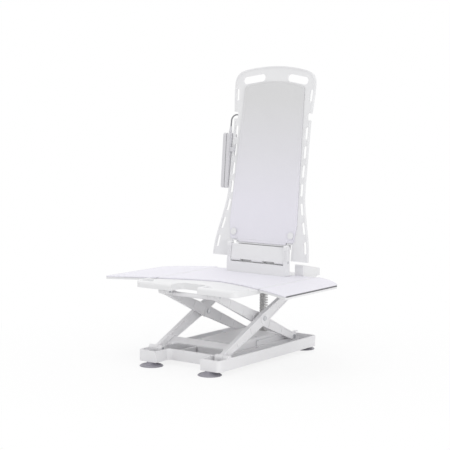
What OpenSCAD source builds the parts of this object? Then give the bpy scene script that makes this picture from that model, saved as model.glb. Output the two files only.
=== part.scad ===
// Bath lift: a suction-cup base, a scissor linkage raised by a push chain,
// a seat with two side flaps, a reclining slotted backrest and a corded handset.
// Millimetres. X runs across, Y to the rear, Z up; the origin is under the middle of the base.

/* [Base tray] */
// Width of the base across its side rails
base_w = 320; // [314:1:340]
// Length of the base from front to rear
base_l = 572; // [560:1:600]
// Underside of the tray above the bath floor
base_z = 14; // [12:1:16]
// Height of the tray's rim above the bath floor
base_top = 50; // [46:1:52]
// Thickness of the tray's floor
base_floor = 4; // [3:0.5:5]
// Thickness of the tray's walls
base_wall = 6; // [4:0.5:7]
// Corner radius of the tray
base_corner = 14; // [8:1:20]
// Width of the recess between the two front feet
recess_w = 176; // [150:1:178]
// Depth of the recess between the two front feet
recess_l = 70; // [40:1:76]
// Corner radius inside that recess
recess_r = 16; // [8:1:24]

/* [Suction cups] */
// Diameter of a suction cup at its lip
cup_d = 76; // [66:1:82]
// Distance of a cup's centre from the side of the base
cup_inset_x = 45; // [43:1:50]
// Distance of a cup's centre from the end of the base
cup_inset_y = 13; // [12:1:20]
// Diameter of a cup's threaded stud
stud_d = 8; // [6:0.5:10]

/* [Scissor arms] */
// Distance of the front pivots from the front of the base
pivot_inset = 60; // [56:1:66]
// Height of the lower pivots above the bath floor
pivot_z = 48; // [47:1:50]
// Arm angle at the lowest seat
angle_low = 3.5; // [3:0.5:5]
// Arm angle as shown
angle_rest = 22.8; // [20:0.2:26]
// Arm angle at the highest seat
angle_high = 55; // [50:1:56]
// Thickness of an arm across the lift
arm_t = 14; // [12:0.5:14]
// Side of the inner arms that faces the middle, from the centre plane
inner_arm_x = 91; // [90:0.5:92]
// Room between an inner and an outer arm
arm_gap = 16; // [15:0.5:17]
// Radius of an arm's round ends
arm_end_r = 13; // [11:0.5:13]
// Half depth of an arm at its middle
arm_mid_r = 20; // [17:0.5:22]
// Width of the flange round an arm's pockets
arm_flange = 4; // [3:0.5:5]
// Thickness of the web between an arm's pockets
arm_web = 11; // [4:0.5:12]
// Diameter of the pivot pins
pin_d = 12; // [10:0.5:13]
// Thickness of the pivot pins' heads
pin_head_t = 3; // [2:0.5:3]
// Length of the outer arms' cross plate along the arms
plate_l = 45; // [36:1:50]
// Thickness of that cross plate
plate_t = 5; // [4:0.5:6]
// Diameter of the inner arms' cross tube
tube_d = 14; // [12:1:18]

/* [Guide rails] */
// Length of a glide block
glide_len = 24; // [20:1:26]
// Height of a glide block
glide_h = 15.4; // [14:0.2:16]
// Wall of the guide rails
rail_t = 3; // [2:0.5:3]
// Depth of the guide rails
rail_w = 11; // [10:0.5:12]

/* [Drive] */
// Width of the drive cover
cover_w = 148; // [140:1:150]
// Length of the drive cover
cover_l = 255; // [230:1:260]
// Height of the drive cover's top above the bath floor
cover_top = 66; // [62:1:68]
// Wall of the drive cover
cover_wall = 3; // [2:0.5:4]
// Thickness of the drive cover's top
cover_lid = 5; // [4:0.5:6]
// Edge radius of the drive cover
cover_r = 10; // [6:1:12]
// Place of the push chain's middle, behind the centre
chain_y = 197; // [194:1:200]
// Width of the push chain
chain_w = 18; // [16:0.5:19]
// Depth of the push chain without its teeth
chain_d = 21; // [19:0.5:22]
// Height of the chain's teeth
tooth_h = 4; // [3:0.5:4.5]
// Pitch of the chain's teeth
tooth_pitch = 8.5; // [8:0.1:9]
// Teeth on the sprocket
sprocket_teeth = 12; // [11:1:13]
// Diameter of the sprocket's shaft
shaft_d = 8; // [6:0.5:9]
// Diameter of the drive motor
motor_d = 26; // [24:1:28]

/* [Seat] */
// Height of the seat's top above the upper pivots
seat_over_pivot = 24; // [23.5:0.5:26]
// Width of the seat between its flap hinges
seat_w = 396; // [390:1:410]
// Thickness of the seat's covers
seat_cover_t = 4.5; // [3:0.5:5]
// Thickness of the seat's skin
seat_skin = 5; // [4:0.5:5]
// Height of the bead round the thigh rests
bead_h = 8; // [5:0.5:10]
// Depth of the seat's skirt below its skin
seat_skirt = 8; // [6:1:10]
// Wall of the seat's skirt
seat_wall = 5; // [4:0.5:6]
// How far the front edge lies before the centre of the base
seat_front = 258; // [252:1:266]
// Width of the recess between the two thigh rests
thigh_gap = 104; // [80:1:130]
// Depth of that recess
thigh_l = 58; // [40:1:66]
// How far the cover's front edge lies before the centre, in the middle
cover_front = 71; // [60:1:90]
// How much further forward the cover reaches at the flaps' tips
cover_sweep = 149; // [120:1:156]

/* [Flaps] */
// Width of a flap beyond its hinge
flap_w = 152; // [120:1:160]
// Thickness of a flap under its cover
flap_t = 6; // [5:0.5:7]
// Place behind the centre where a flap starts to round off
flap_side_y = 82; // [60:1:90]
// Length of a flap's rounded rear end
flap_round_l = 130; // [110:1:140]
// Radius of a flap's front corner
flap_corner = 10; // [5:1:14]
// Diameter of the flap hinges
flap_hinge_d = 7; // [6:0.5:7]
// Diameter of the flap hinges' pins
flap_pin_d = 3; // [2.5:0.5:3.5]

/* [Backrest hinge] */
// Place of the backrest's hinge behind the centre
hinge_y = 158; // [154:1:160]
// Height of the backrest's hinge above the seat's top
hinge_rise = 45.5; // [44:0.5:50]
// Inner side of the hinge posts from the centre plane
post_x = 107; // [102:1:109]
// Width of a hinge post
post_w = 14; // [12:1:16]
// Depth of a hinge post
post_l = 20; // [18:1:22]
// Height of a hinge post above the hinge
post_rise = 57; // [50:1:58]
// Diameter of the hinge barrels
barrel_d = 18; // [16:1:19]
// Diameter of the hinge pins
hinge_pin_d = 10; // [8:0.5:11]
// Half width of the hinge slots' inner ends
slot_in = 22; // [16:1:28]
// Half width of the hinge slots' outer ends
slot_out = 70; // [60:1:76]

/* [Backrest] */
// Backwards tilt of the backrest as shown
back_tilt = 7.4; // [5:0.2:10]
// Length of the backrest along its slope
back_l = 656; // [640:1:690]
// Half width of the backrest's waist
waist = 153; // [150:1:158]
// How much wider the backrest is at its foot, each side
foot_flare = 39; // [30:1:40]
// How much wider the backrest is at its shoulders, each side
shoulder = 8; // [4:1:12]
// Depth of the backrest's rim
rim_d = 22; // [18:1:24]
// Width of the backrest's rim
rim_w = 4.5; // [4:0.5:6]
// Thickness of the backrest's skin
back_skin = 5; // [4:0.5:6]
// How far the skin's middle lies behind the rim's front
back_dish = 15; // [10:1:16]
// Thickness of the back cover
back_cover_t = 4; // [3:0.5:5]
// Length of a side slot
side_slot_l = 42; // [30:1:48]
// Width of a side slot
side_slot_w = 12; // [8:0.5:13]
// Pitch of the side slots
side_slot_pitch = 63.5; // [60:0.5:66]
// Length of a hand slot
hand_slot_l = 87; // [70:1:90]
// Height of a hand slot
hand_slot_h = 26; // [20:1:28]
// Diameter of the cover's two fixing buttons
cover_button_d = 24; // [16:1:28]

/* [Handset] */
// Height of the handset
handset_l = 190; // [180:1:200]
// Width of the handset at its top
handset_w = 46; // [42:1:50]
// Width of the handset at its foot
handset_foot_w = 24; // [22:1:40]
// Thickness of the handset
handset_t = 27; // [24:1:30]
// Wall of the handset's shells
handset_wall = 2.5; // [2:0.5:3]
// Diameter of the handset's buttons
key_d = 20; // [16:1:22]
// Travel of the handset's buttons
key_travel = 1.5; // [1:0.5:2]
// Diameter of the handset's cord
cord_d = 5; // [4:0.5:6]

/* [Clearances] */
// Clearance of a pin in its bore, on the radius
pin_clear = 0.05; // [0.02:0.01:0.1]
// Clearance of a glide block in its rail
glide_clear = 0.3; // [0.2:0.1:0.5]
// Side clearance between a moving piece and its neighbour
side_clear = 0.5; // [0.3:0.1:0.6]
// Room left at the end of the glide blocks' travel
end_clear = 3; // [2:0.5:5]
// Gap between a soft cover and the shell under it
pad_clear = 0.2; // [0.1:0.1:0.4]

/* [Hidden] */
$fn = 64;
// Extra depth of a cut past the face that it opens
cut = 1;

// Base and linkage, worked out from the sizes above. What stands inside the base was drawn for a
// base of this width and length; it moves with the base's sides and ends when those sizes change
drawn_base_w = 320;
drawn_base_l = 572;
grow_w = (base_w - drawn_base_w) / 2;
grow_l = (base_l - drawn_base_l) / 2;
half_w = base_w / 2;
half_l = base_l / 2;
floor_z = base_z + base_floor;
pivot_y = pivot_inset - half_l;
glide_reach = half_l - base_wall - glide_len / 2 - end_clear;
arm_len = (glide_reach - pivot_y) / cos(angle_low);
glide_y = pivot_y + arm_len * cos(angle_rest);
glide_y_high = pivot_y + arm_len * cos(angle_high);
seat_pivot_z = pivot_z + arm_len * sin(angle_rest);
seat_top = seat_pivot_z + seat_over_pivot;
arm_x = inner_arm_x + grow_w;
inner_face_x = arm_x + arm_t;
outer_arm_x = inner_face_x + arm_gap;
outer_face_x = outer_arm_x + arm_t;
pin_r = pin_d / 2;
bore_r = pin_r + pin_clear;
head_r = pin_r + 2;
boss_r = pin_r + 5;

// Guide rails: the lower pair opens outwards, the upper pair inwards
rail_gap = pin_head_t + 2 * side_clear;
rail_half = glide_h / 2 + glide_clear + rail_t;
rail_y0 = glide_y_high - glide_len / 2 - end_clear;
rail_y1 = half_l - base_wall - side_clear;
low_rail_x1 = arm_x - rail_gap;
low_rail_x0 = low_rail_x1 - rail_w;
up_rail_x0 = outer_face_x + rail_gap;
up_rail_x1 = up_rail_x0 + rail_w;
rivet_r = 2.5;
rivet_count = 4;
rivet_l = 5;

// Tray: ledges carry the lower rails, the well between them holds the drive
ledge_z = pivot_z - rail_half;
ledge_x0 = low_rail_x0 - side_clear;
ledge_x1 = low_rail_x1 + side_clear;
recess_half = recess_w / 2 + grow_w;
well_y0 = recess_l + base_wall - half_l;
trough_r = 5;
window_margin = 8;

// Drive
cover_half = cover_w / 2 + grow_w;
chain_mid_y = chain_y + grow_l;
cover_y1 = chain_mid_y - 32;
cover_y0 = cover_y1 - cover_l - 2 * grow_l;
window_y0 = well_y0 + window_margin;
window_y1 = cover_y0 - window_margin;
screw_r = 2;
screw_head_r = 4.5;
screw_head_t = 2.6;
screw_inset = 11;
screw_boss_r = 5;
chain_y0 = chain_mid_y - (chain_d + tooth_h) / 2;
chain_root_y = chain_y0 + chain_d;
chain_z0 = floor_z + 2;
mesh_clear = 0.9;
sprocket_pitch_r = sprocket_teeth * tooth_pitch / (2 * PI);
sprocket_tip_r = sprocket_pitch_r - mesh_clear;
sprocket_root_r = sprocket_tip_r - tooth_h - side_clear;
sprocket_y = chain_root_y + sprocket_tip_r + mesh_clear;
sprocket_z = floor_z + sprocket_tip_r + 2;
guide_wall = 5;
guide_x = chain_w / 2 + 1.3;
guide_y0 = chain_y0 - side_clear - guide_wall;
guide_y1 = sprocket_y + sprocket_tip_r + side_clear + guide_wall;
shaft_r = shaft_d / 2;
gearbox_x0 = guide_x + guide_wall + 3;
gearbox_w = 28;
gearbox_l = 48;
motor_l = 130;
motor_x = guide_x + guide_wall + 1 + motor_d / 2;
motor_y0 = sprocket_y - gearbox_l / 2 - motor_l;
motor_z = floor_z + motor_d / 2 + 1;

// A shape and its mirror image on the other side of the lift
module both() {
    children();
    mirror([1, 0, 0]) children();
}

// Rectangle with round corners, centred
module rounded_rect(w, l, r) {
    square([w - 2 * r, l], center = true);
    square([w, l - 2 * r], center = true);
    for (sx = [-1, 1], sy = [-1, 1])
        translate([sx * (w / 2 - r), sy * (l / 2 - r)]) circle(r);
}

// The same between two corners
module rounded_box(x0, x1, y0, y1, r) {
    translate([(x0 + x1) / 2, (y0 + y1) / 2]) rounded_rect(x1 - x0, y1 - y0, r);
}

// A side view (Y, Z) carried across the lift from x0 to x1
module across(x0, x1) {
    translate([x0, 0, 0]) rotate([90, 0, 90]) linear_extrude(x1 - x0) children();
}

// A front view (X, Z) carried to the rear from y0 to y1
module along(y0, y1) {
    translate([0, y1, 0]) rotate([90, 0, 0]) linear_extrude(y1 - y0) children();
}

// A round rod across the lift
module rod(x0, x1, r) {
    translate([x0, 0, 0]) rotate([0, 90, 0]) cylinder(h = x1 - x0, r = r);
}

// The four places of the suction cups
module at_cups() {
    for (sx = [-1, 1], sy = [-1, 1])
        translate([sx * (half_w - cup_inset_x), sy * (half_l - cup_inset_y), 0]) children();
}

// The four places of the drive cover's screws
module at_cover_screws() {
    for (sx = [-1, 1], y = [cover_y0 + screw_inset, motor_y0 - screw_inset])
        translate([sx * (cover_half - screw_inset), y, 0]) children();
}

// Evenly spread places along a guide rail
module along_rail() {
    step = (rail_y1 - rail_y0) / rivet_count;
    for (i = [0 : rivet_count - 1])
        translate([0, rail_y0 + (i + 0.5) * step, 0]) children();
}

// Troughs for the arms on one side of the tray
module trough_plan() {
    rounded_box(recess_half + base_wall, half_w - base_wall,
                base_wall - half_l, half_l - base_wall, trough_r);
    rounded_box(ledge_x1, half_w - base_wall, well_y0, half_l - base_wall, trough_r);
}

// Well in the middle of the tray
module well_plan() {
    rounded_box(-ledge_x0, ledge_x0, well_y0, half_l - base_wall, trough_r);
}

// Two bosses that hold one front pivot pin
module pivot_bosses() {
    for (x = [[inner_face_x + 1, outer_arm_x - side_clear],
              [outer_face_x + side_clear, half_w - base_wall / 2]])
        across(x[0], x[1]) {
            translate([pivot_y, pivot_z]) circle(boss_r);
            translate([pivot_y - boss_r, base_z]) square([2 * boss_r, pivot_z - base_z]);
        }
}

module base_frame() {
    color("gainsboro")
    difference() {
        union() {
            difference() {
                translate([0, 0, base_z])
                linear_extrude(base_top - base_z)
                difference() {
                    rounded_rect(base_w, base_l, base_corner);
                    translate([0, -half_l]) rounded_rect(2 * recess_half, 2 * recess_l, recess_r);
                }
                translate([0, 0, floor_z])
                linear_extrude(base_top) {
                    both() trough_plan();
                    well_plan();
                }
                translate([0, 0, ledge_z])
                linear_extrude(base_top)
                rounded_box(-ledge_x1 - trough_r, ledge_x1 + trough_r, well_y0, half_l - base_wall, trough_r);
            }
            both() pivot_bosses();
            at_cover_screws() translate([0, 0, base_z])
                cylinder(h = cover_top - cover_lid - base_z, r = screw_boss_r);
            at_cups() translate([0, 0, base_z]) cylinder(h = base_floor + 4, r = stud_d / 2 + 6);
        }
        both() translate([0, pivot_y, pivot_z]) rod(inner_face_x, half_w - base_wall - 2, bore_r);
        at_cups() cylinder(h = base_top, r = stud_d / 2 + pin_clear);
        at_cover_screws() translate([0, 0, floor_z]) cylinder(h = cover_top, r = screw_r + pin_clear);
        translate([0, 0, base_z - cut])
        linear_extrude(base_floor + 2 * cut)
        rounded_box(-ledge_x0 + window_margin, ledge_x0 - window_margin, window_y0, window_y1,
                    min(window_margin, (window_y1 - window_y0) / 2 - 0.1));
        both() translate([(low_rail_x0 + low_rail_x1) / 2, 0, ledge_z - rivet_l]) along_rail()
            cylinder(h = rivet_l + cut, r = rivet_r + pin_clear);
    }
}

// Bell of a suction cup, hollow below, with a socket for its stud
module suction_cups() {
    color("slategray")
    at_cups()
    rotate_extrude()
    polygon([
        [0, 6], [14, 5.6], [cup_d / 2 - 9, 3.2], [cup_d / 2 - 1.5, 0], [cup_d / 2, 0],
        [cup_d / 2, 1.2], [cup_d / 2 - 5, 4.6], [22, 7.4], [16, 10], [14, base_z],
        [stud_d / 2 + pin_clear, base_z], [stud_d / 2 + pin_clear, 9], [0, 9]
    ]);
}

// Studs that clamp the cups to the tray, each with a nut
module cup_studs() {
    color("silver")
    at_cups() {
        translate([0, 0, 9]) cylinder(h = floor_z + 13 - 9, r = stud_d / 2);
        translate([0, 0, floor_z + 4]) cylinder(h = 6.5, r = stud_d / 2 + 3.5, $fn = 6);
    }
}

module front_pivot_pins() {
    color("silver")
    both() translate([0, pivot_y, pivot_z]) rod(inner_face_x + 1, half_w - base_wall - 2, pin_r);
}

// Channel section of a guide rail, open towards +X, centred on the glide block's height
module rail_section(x0) {
    difference() {
        translate([x0, -rail_half]) square([rail_w, 2 * rail_half]);
        translate([x0 + rail_t, rail_t - rail_half]) square([rail_w, 2 * (rail_half - rail_t)]);
    }
}

module lower_guide_rails() {
    color("silver")
    both()
    difference() {
        along(rail_y0, rail_y1) translate([0, pivot_z]) rail_section(low_rail_x0);
        translate([(low_rail_x0 + low_rail_x1) / 2, 0, ledge_z - cut]) along_rail()
            cylinder(h = rail_t + 2 * cut, r = rivet_r + pin_clear);
    }
}

module lower_rail_rivets() {
    color("gray")
    both() translate([(low_rail_x0 + low_rail_x1) / 2, 0, ledge_z - rivet_l]) along_rail()
        cylinder(h = rivet_l + rail_t, r = rivet_r);
}

// Open-bottomed cover over the motor and the stowed chain, with round long edges
module drive_cover() {
    color("lightgray")
    difference() {
        intersection() {
            translate([0, 0, floor_z])
            linear_extrude(cover_top)
            rounded_box(-cover_half, cover_half, cover_y0, cover_y1, cover_r);
            along(cover_y0, cover_y1) {
                rounded_box(-cover_half, cover_half, floor_z, cover_top, cover_r);
                translate([-cover_half, floor_z]) square([2 * cover_half, cover_r]);
            }
        }
        translate([0, 0, floor_z - cut])
        linear_extrude(cover_top - cover_lid - floor_z + cut)
        rounded_box(cover_wall - cover_half, cover_half - cover_wall,
                    cover_y0 + cover_wall, cover_y1 - cover_wall, cover_r - cover_wall);
        along(cover_y1 - 2 * cover_wall, cover_y1 + cut) {
            translate([-guide_x, floor_z - cut]) square([2 * guide_x, chain_d + tooth_h + 4]);
            translate([motor_x, motor_z]) circle(motor_d / 2 + side_clear);
            translate([motor_x - motor_d / 2 - side_clear, floor_z - cut])
                square([motor_d + 2 * side_clear, motor_z - floor_z + cut]);
        }
        at_cover_screws() {
            cylinder(h = cover_top + cut, r = screw_r + pin_clear);
            translate([0, 0, cover_top - screw_head_t]) cylinder(h = cover_top, r = screw_head_r + 0.3);
        }
    }
}

module cover_screws() {
    color("silver")
    at_cover_screws() {
        translate([0, 0, floor_z + 8]) cylinder(h = cover_top - screw_head_t - floor_z - 8, r = screw_r);
        translate([0, 0, cover_top - screw_head_t]) cylinder(h = screw_head_t, r = screw_head_r);
    }
}

// Motor lying to the rear with its right-angle gearbox beside the sprocket
module gearmotor() {
    color("dimgray")
    difference() {
        union() {
            translate([gearbox_x0, sprocket_y - gearbox_l / 2, floor_z])
                cube([gearbox_w, gearbox_l, sprocket_z - floor_z + 16]);
            translate([motor_x, motor_y0, motor_z])
                rotate([-90, 0, 0]) cylinder(h = motor_l + cut, r = motor_d / 2);
            translate([motor_x - motor_d / 4, motor_y0 + 10, floor_z])
                cube([motor_d / 2, 12, 6]);
        }
        translate([0, sprocket_y, sprocket_z]) rod(0, gearbox_x0 + gearbox_w / 2, shaft_r + pin_clear);
    }
}

// Two cheeks and a front wall that turn the chain upwards and carry the sprocket's shaft
module chain_guide() {
    color("whitesmoke")
    difference() {
        translate([0, 0, floor_z])
        linear_extrude(sprocket_z + sprocket_tip_r - floor_z)
        rounded_box(-guide_x - guide_wall, guide_x + guide_wall, guide_y0, guide_y1, 3);
        translate([-guide_x, guide_y0 + guide_wall, floor_z - cut])
            cube([2 * guide_x, guide_y1 - guide_y0 - 2 * guide_wall, base_top]);
        translate([-guide_x, guide_y0 - cut, floor_z - cut])
            cube([2 * guide_x, guide_wall + 2 * cut, chain_d + tooth_h + 3]);
        translate([0, sprocket_y, sprocket_z]) rod(-half_w, half_w, shaft_r + pin_clear);
    }
}

// Teeth of the chain: a row of n trapezoids on the line x = 0, the first gap at y = 0
module rack_teeth(n) {
    for (i = [0 : n - 1])
        translate([0, (i + 0.5) * tooth_pitch])
        polygon([[-0.1, -2.5], [tooth_h, -1.25], [tooth_h, 1.25], [-0.1, 2.5]]);
}

// Side view of a straight run of chain along +Y, teeth on the +X side
module chain_run(length, first) {
    square([chain_d, length]);
    translate([chain_d, first]) rack_teeth(floor((length - first) / tooth_pitch));
}

module lift_chain() {
    color("gainsboro")
    across(-chain_w / 2, chain_w / 2)
    translate([chain_y0, chain_z0])
    chain_run(head_z0 - chain_z0, (sprocket_z - chain_z0) % tooth_pitch);
}

// The rest of the chain lies flat under the drive cover and ends at the foot of the raised run
module stowed_chain() {
    stow_y0 = cover_y0 + 20;
    color("gainsboro")
    across(-chain_w / 2, chain_w / 2)
    translate([stow_y0, floor_z])
    mirror([1, -1])
    chain_run(chain_y0 - side_clear - stow_y0, 0);
}

// Sprocket and its shaft, one tooth in a gap of the chain
module drive_sprocket() {
    color("darkgray")
    translate([0, sprocket_y, sprocket_z]) {
        across(-chain_w / 2 + 1, chain_w / 2 - 1) {
            circle(sprocket_root_r);
            for (i = [0 : sprocket_teeth - 1])
                rotate(180 + i * 360 / sprocket_teeth)
                polygon([[sprocket_root_r - 1, -2], [sprocket_tip_r, -0.9],
                         [sprocket_tip_r, 0.9], [sprocket_root_r - 1, 2]]);
        }
        rod(-guide_x - guide_wall, gearbox_x0 + gearbox_w / 2 - 1, shaft_r);
    }
}

// Linkage details
arm_rib = 4;
eye_step = 1.5;
glide_pin_r = pin_r - 2;
plate_u = 40;
plate_v = -10;
plate_relief = 14;
tube_u = 28;
tube_wall = 2.5;
lug_t = 12;

// Frames of the two arm pairs: +Y runs from the front pivot along the arm
module at_outer() {
    translate([0, pivot_y, pivot_z]) rotate([angle_rest, 0, 0]) children();
}

module at_inner() {
    translate([0, pivot_y, seat_pivot_z]) rotate([-angle_rest, 0, 0]) children();
}

// Straight-sided outline of an arm, deepest at its middle
module arm_bar(end_half, mid_half) {
    polygon([[0, -end_half], [arm_len / 2, -mid_half], [arm_len, -end_half],
             [arm_len, end_half], [arm_len / 2, mid_half], [0, end_half]]);
}

// Arm with a round eye at each of its three pins
module arm_plan() {
    arm_bar(arm_end_r - eye_step, arm_mid_r - eye_step);
    for (u = [0, arm_len]) translate([u, 0]) circle(arm_end_r);
    translate([arm_len / 2, 0]) circle(arm_mid_r);
}

// Pockets that leave a flange, the eyes, a boss for the cross tube and cross ribs
module arm_pockets() {
    difference() {
        arm_bar(arm_end_r - eye_step - arm_flange, arm_mid_r - eye_step - arm_flange);
        for (u = [0, arm_len]) translate([u, 0]) circle(arm_end_r);
        translate([arm_len / 2, 0]) circle(arm_mid_r);
        translate([tube_u, 0]) circle(tube_d / 2 + eye_step);
        for (i = [1, 2, 4, 5])
            translate([i * arm_len / 6, 0]) square([arm_rib, 2 * arm_mid_r], center = true);
    }
}

module arm(x0) {
    pocket = (arm_t - arm_web) / 2;
    difference() {
        across(x0, x0 + arm_t) arm_plan();
        across(x0 - cut, x0 + pocket) arm_pockets();
        across(x0 + arm_t - pocket, x0 + arm_t + cut) arm_pockets();
        for (u = [0, arm_len / 2]) translate([0, u, 0]) rod(x0 - cut, x0 + arm_t + cut, bore_r);
        translate([0, arm_len, 0]) rod(x0 - cut, x0 + arm_t + cut, glide_pin_r + pin_clear);
    }
}

module outer_arm_right() {
    color("lightgray") at_outer() arm(outer_arm_x);
}

module outer_arm_left() {
    color("lightgray") mirror([1, 0, 0]) at_outer() arm(outer_arm_x);
}

module inner_arm_right() {
    color("darkgray") at_inner() arm(arm_x);
}

module inner_arm_left() {
    color("darkgray") mirror([1, 0, 0]) at_inner() arm(arm_x);
}

// Plate that ties the outer arms together near their front pivots
module outer_cross_plate() {
    color("lightgray")
    at_outer()
    translate([0, plate_u, plate_v])
    linear_extrude(plate_t)
    difference() {
        translate([-outer_arm_x, 0]) square([2 * outer_arm_x, plate_l]);
        rounded_rect(2 * outer_arm_x - 3 * plate_relief, 2 * plate_relief, plate_relief - 1);
    }
}

module inner_cross_tube() {
    color("silver")
    at_inner()
    translate([0, tube_u, 0])
    difference() {
        rod(-arm_x, arm_x, tube_d / 2);
        rod(-arm_x - cut, arm_x + cut, tube_d / 2 - tube_wall);
    }
}

// Pins at the crossing of the arms, with a head outside and a nut inside
module centre_pivot_pins() {
    nut_x = arm_x - side_clear;
    color("silver")
    both() at_outer() translate([0, arm_len / 2, 0]) {
        rod(nut_x - pin_head_t, outer_face_x + pin_head_t, pin_r);
        rod(outer_face_x, outer_face_x + pin_head_t, head_r);
        rod(nut_x - pin_head_t, nut_x, head_r);
    }
}

module centre_spacers() {
    color("whitesmoke")
    both() at_outer() translate([0, arm_len / 2, 0])
    difference() {
        rod(inner_face_x + side_clear, outer_arm_x, boss_r);
        rod(inner_face_x, outer_arm_x + cut, bore_r);
    }
}

module lower_glide_pins() {
    color("silver")
    both() at_inner() translate([0, arm_len, 0]) {
        rod(low_rail_x0 + rail_t + 2 * glide_clear, inner_face_x + pin_head_t, glide_pin_r);
        rod(inner_face_x, inner_face_x + pin_head_t, head_r);
    }
}

module upper_glide_pins() {
    color("silver")
    both() at_outer() translate([0, arm_len, 0]) {
        rod(outer_arm_x - pin_head_t, up_rail_x1 - rail_t - 2 * glide_clear, glide_pin_r);
        rod(outer_arm_x - pin_head_t, outer_arm_x, head_r);
    }
}

// A sliding block with round ends, bored for its pin
module glide_block(x0, x1) {
    difference() {
        across(x0, x1) rounded_rect(glide_len, glide_h, 3);
        rod(x0 - cut, x1 + cut, glide_pin_r + pin_clear);
    }
}

module lower_glide_blocks() {
    color("whitesmoke")
    both() translate([0, glide_y, pivot_z])
        glide_block(low_rail_x0 + rail_t + glide_clear, arm_x - side_clear);
}

module upper_glide_blocks() {
    color("whitesmoke")
    both() translate([0, glide_y, seat_pivot_z])
        glide_block(outer_face_x + side_clear, up_rail_x1 - rail_t - glide_clear);
}

// Seat, worked out from the sizes above
seat_half = seat_w / 2;
seat_skin_top = seat_top - seat_cover_t;
seat_skin_z = seat_skin_top - seat_skin;
skirt_z = seat_skin_z - seat_skirt;
bead_top = seat_skin_top + bead_h;
seat_rear = rail_y1 + seat_wall + 1.5;
seat_front_y = -seat_front - grow_l;
seat_corner = 22;
post_x1 = post_x + post_w;
rear_rail_x0 = post_x1 + 3;
rear_rail_w = 32;
rear_rail_x1 = rear_rail_x0 + rear_rail_w;
wing_rear = 208;
tail_half = max(up_rail_x1 + seat_wall, rear_rail_x1) + 2;
tail_corner = 8;
bead_w = 18;
bead_step = 6;
thigh_r = 20;
front_roll = 11;
seat_rib_h = 15;
seat_rib_w = 4;
seat_ribs = 4;
seat_rib_y0 = -90;
seat_rib_pitch = 75;
flap_hinge_x = seat_half + 5;
flap_hinge_z = seat_top - flap_hinge_d / 2;
flap_x0 = flap_hinge_x + flap_hinge_d / 2 + side_clear;
flap_tip = flap_hinge_x + flap_w;
flap_bulge_x = 0.78;
flap_bulge_y = 0.58;
knuckles = 7;
knuckle_y0 = -130;
knuckle_l = 45;

// Chain head: the last link, in a deep socket under the seat
head_room = 22;
head_h = 17;
head_margin = 2;
head_z0 = seat_skin_z - head_room - head_h;
socket_wall = 4;
socket_z0 = head_z0 + 2;

module chain_head() {
    color("gainsboro")
    translate([0, 0, head_z0])
    linear_extrude(head_h)
    rounded_box(-chain_w / 2 - head_margin, chain_w / 2 + head_margin,
                chain_y0 - head_margin, chain_root_y + tooth_h + head_margin, 3);
}

// Plan of the chain head's socket, grown by g
module socket_plan(g) {
    w = head_margin + side_clear + g;
    rounded_box(-chain_w / 2 - w, chain_w / 2 + w, chain_y0 - w, chain_root_y + tooth_h + w, 3);
}

// Plan of the seat, drawn in by g: wings beside the flaps' hinges and a narrower tail
module seat_plan(g) {
    difference() {
        union() {
            rounded_box(g - seat_half, seat_half - g, seat_front_y + g, wing_rear - g, seat_corner - g);
            rounded_box(g - tail_half, tail_half - g, 0, seat_rear - g, tail_corner - min(g, seat_wall));
        }
        translate([0, seat_front_y]) rounded_rect(thigh_gap + 2 * g, 2 * (thigh_l + g), thigh_r + g);
    }
}

// Plan of the bead round the thigh rests, w wide, clear of the cover behind it
module bead_plan(w) {
    rear = min(seat_front_y + thigh_l + bead_w, front_edge(seat_half) - side_clear);
    intersection() {
        difference() {
            seat_plan(0);
            seat_plan(w);
        }
        translate([-seat_half, seat_front_y]) square([2 * seat_half, rear - seat_front_y]);
    }
}

// Lugs on both sides of an inner arm's upper pivot
module seat_lugs() {
    for (x = [arm_x - side_clear - lug_t, inner_face_x + side_clear])
        across(x, x + lug_t) {
            translate([pivot_y, seat_pivot_z]) circle(boss_r);
            translate([pivot_y - boss_r, seat_pivot_z])
                square([2 * boss_r, seat_skin_top - cut - seat_pivot_z]);
        }
}

// One barrel of a flap hinge between y0 and y1
module flap_barrel(y0, y1) {
    along(y0 + side_clear / 2, y1 - side_clear / 2)
    translate([flap_hinge_x, flap_hinge_z]) circle(flap_hinge_d / 2);
}

// The hinge's barrels alternate: even ones belong to the seat, odd ones to the flap
module flap_barrels(first) {
    for (i = [first : 2 : knuckles - 1])
        flap_barrel(knuckle_y0 + i * knuckle_l, knuckle_y0 + (i + 1) * knuckle_l);
}

// Webs that carry those barrels, from x0 to x1
module flap_webs(first, x0, x1, z0) {
    for (i = [first : 2 : knuckles - 1])
        translate([x0, knuckle_y0 + i * knuckle_l + side_clear / 2, z0])
            cube([x1 - x0, knuckle_l - side_clear, seat_skin_top - z0]);
}

module flap_hinge_bore(r) {
    along(knuckle_y0, knuckle_y0 + knuckles * knuckle_l)
    translate([flap_hinge_x, flap_hinge_z]) circle(r);
}

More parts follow.
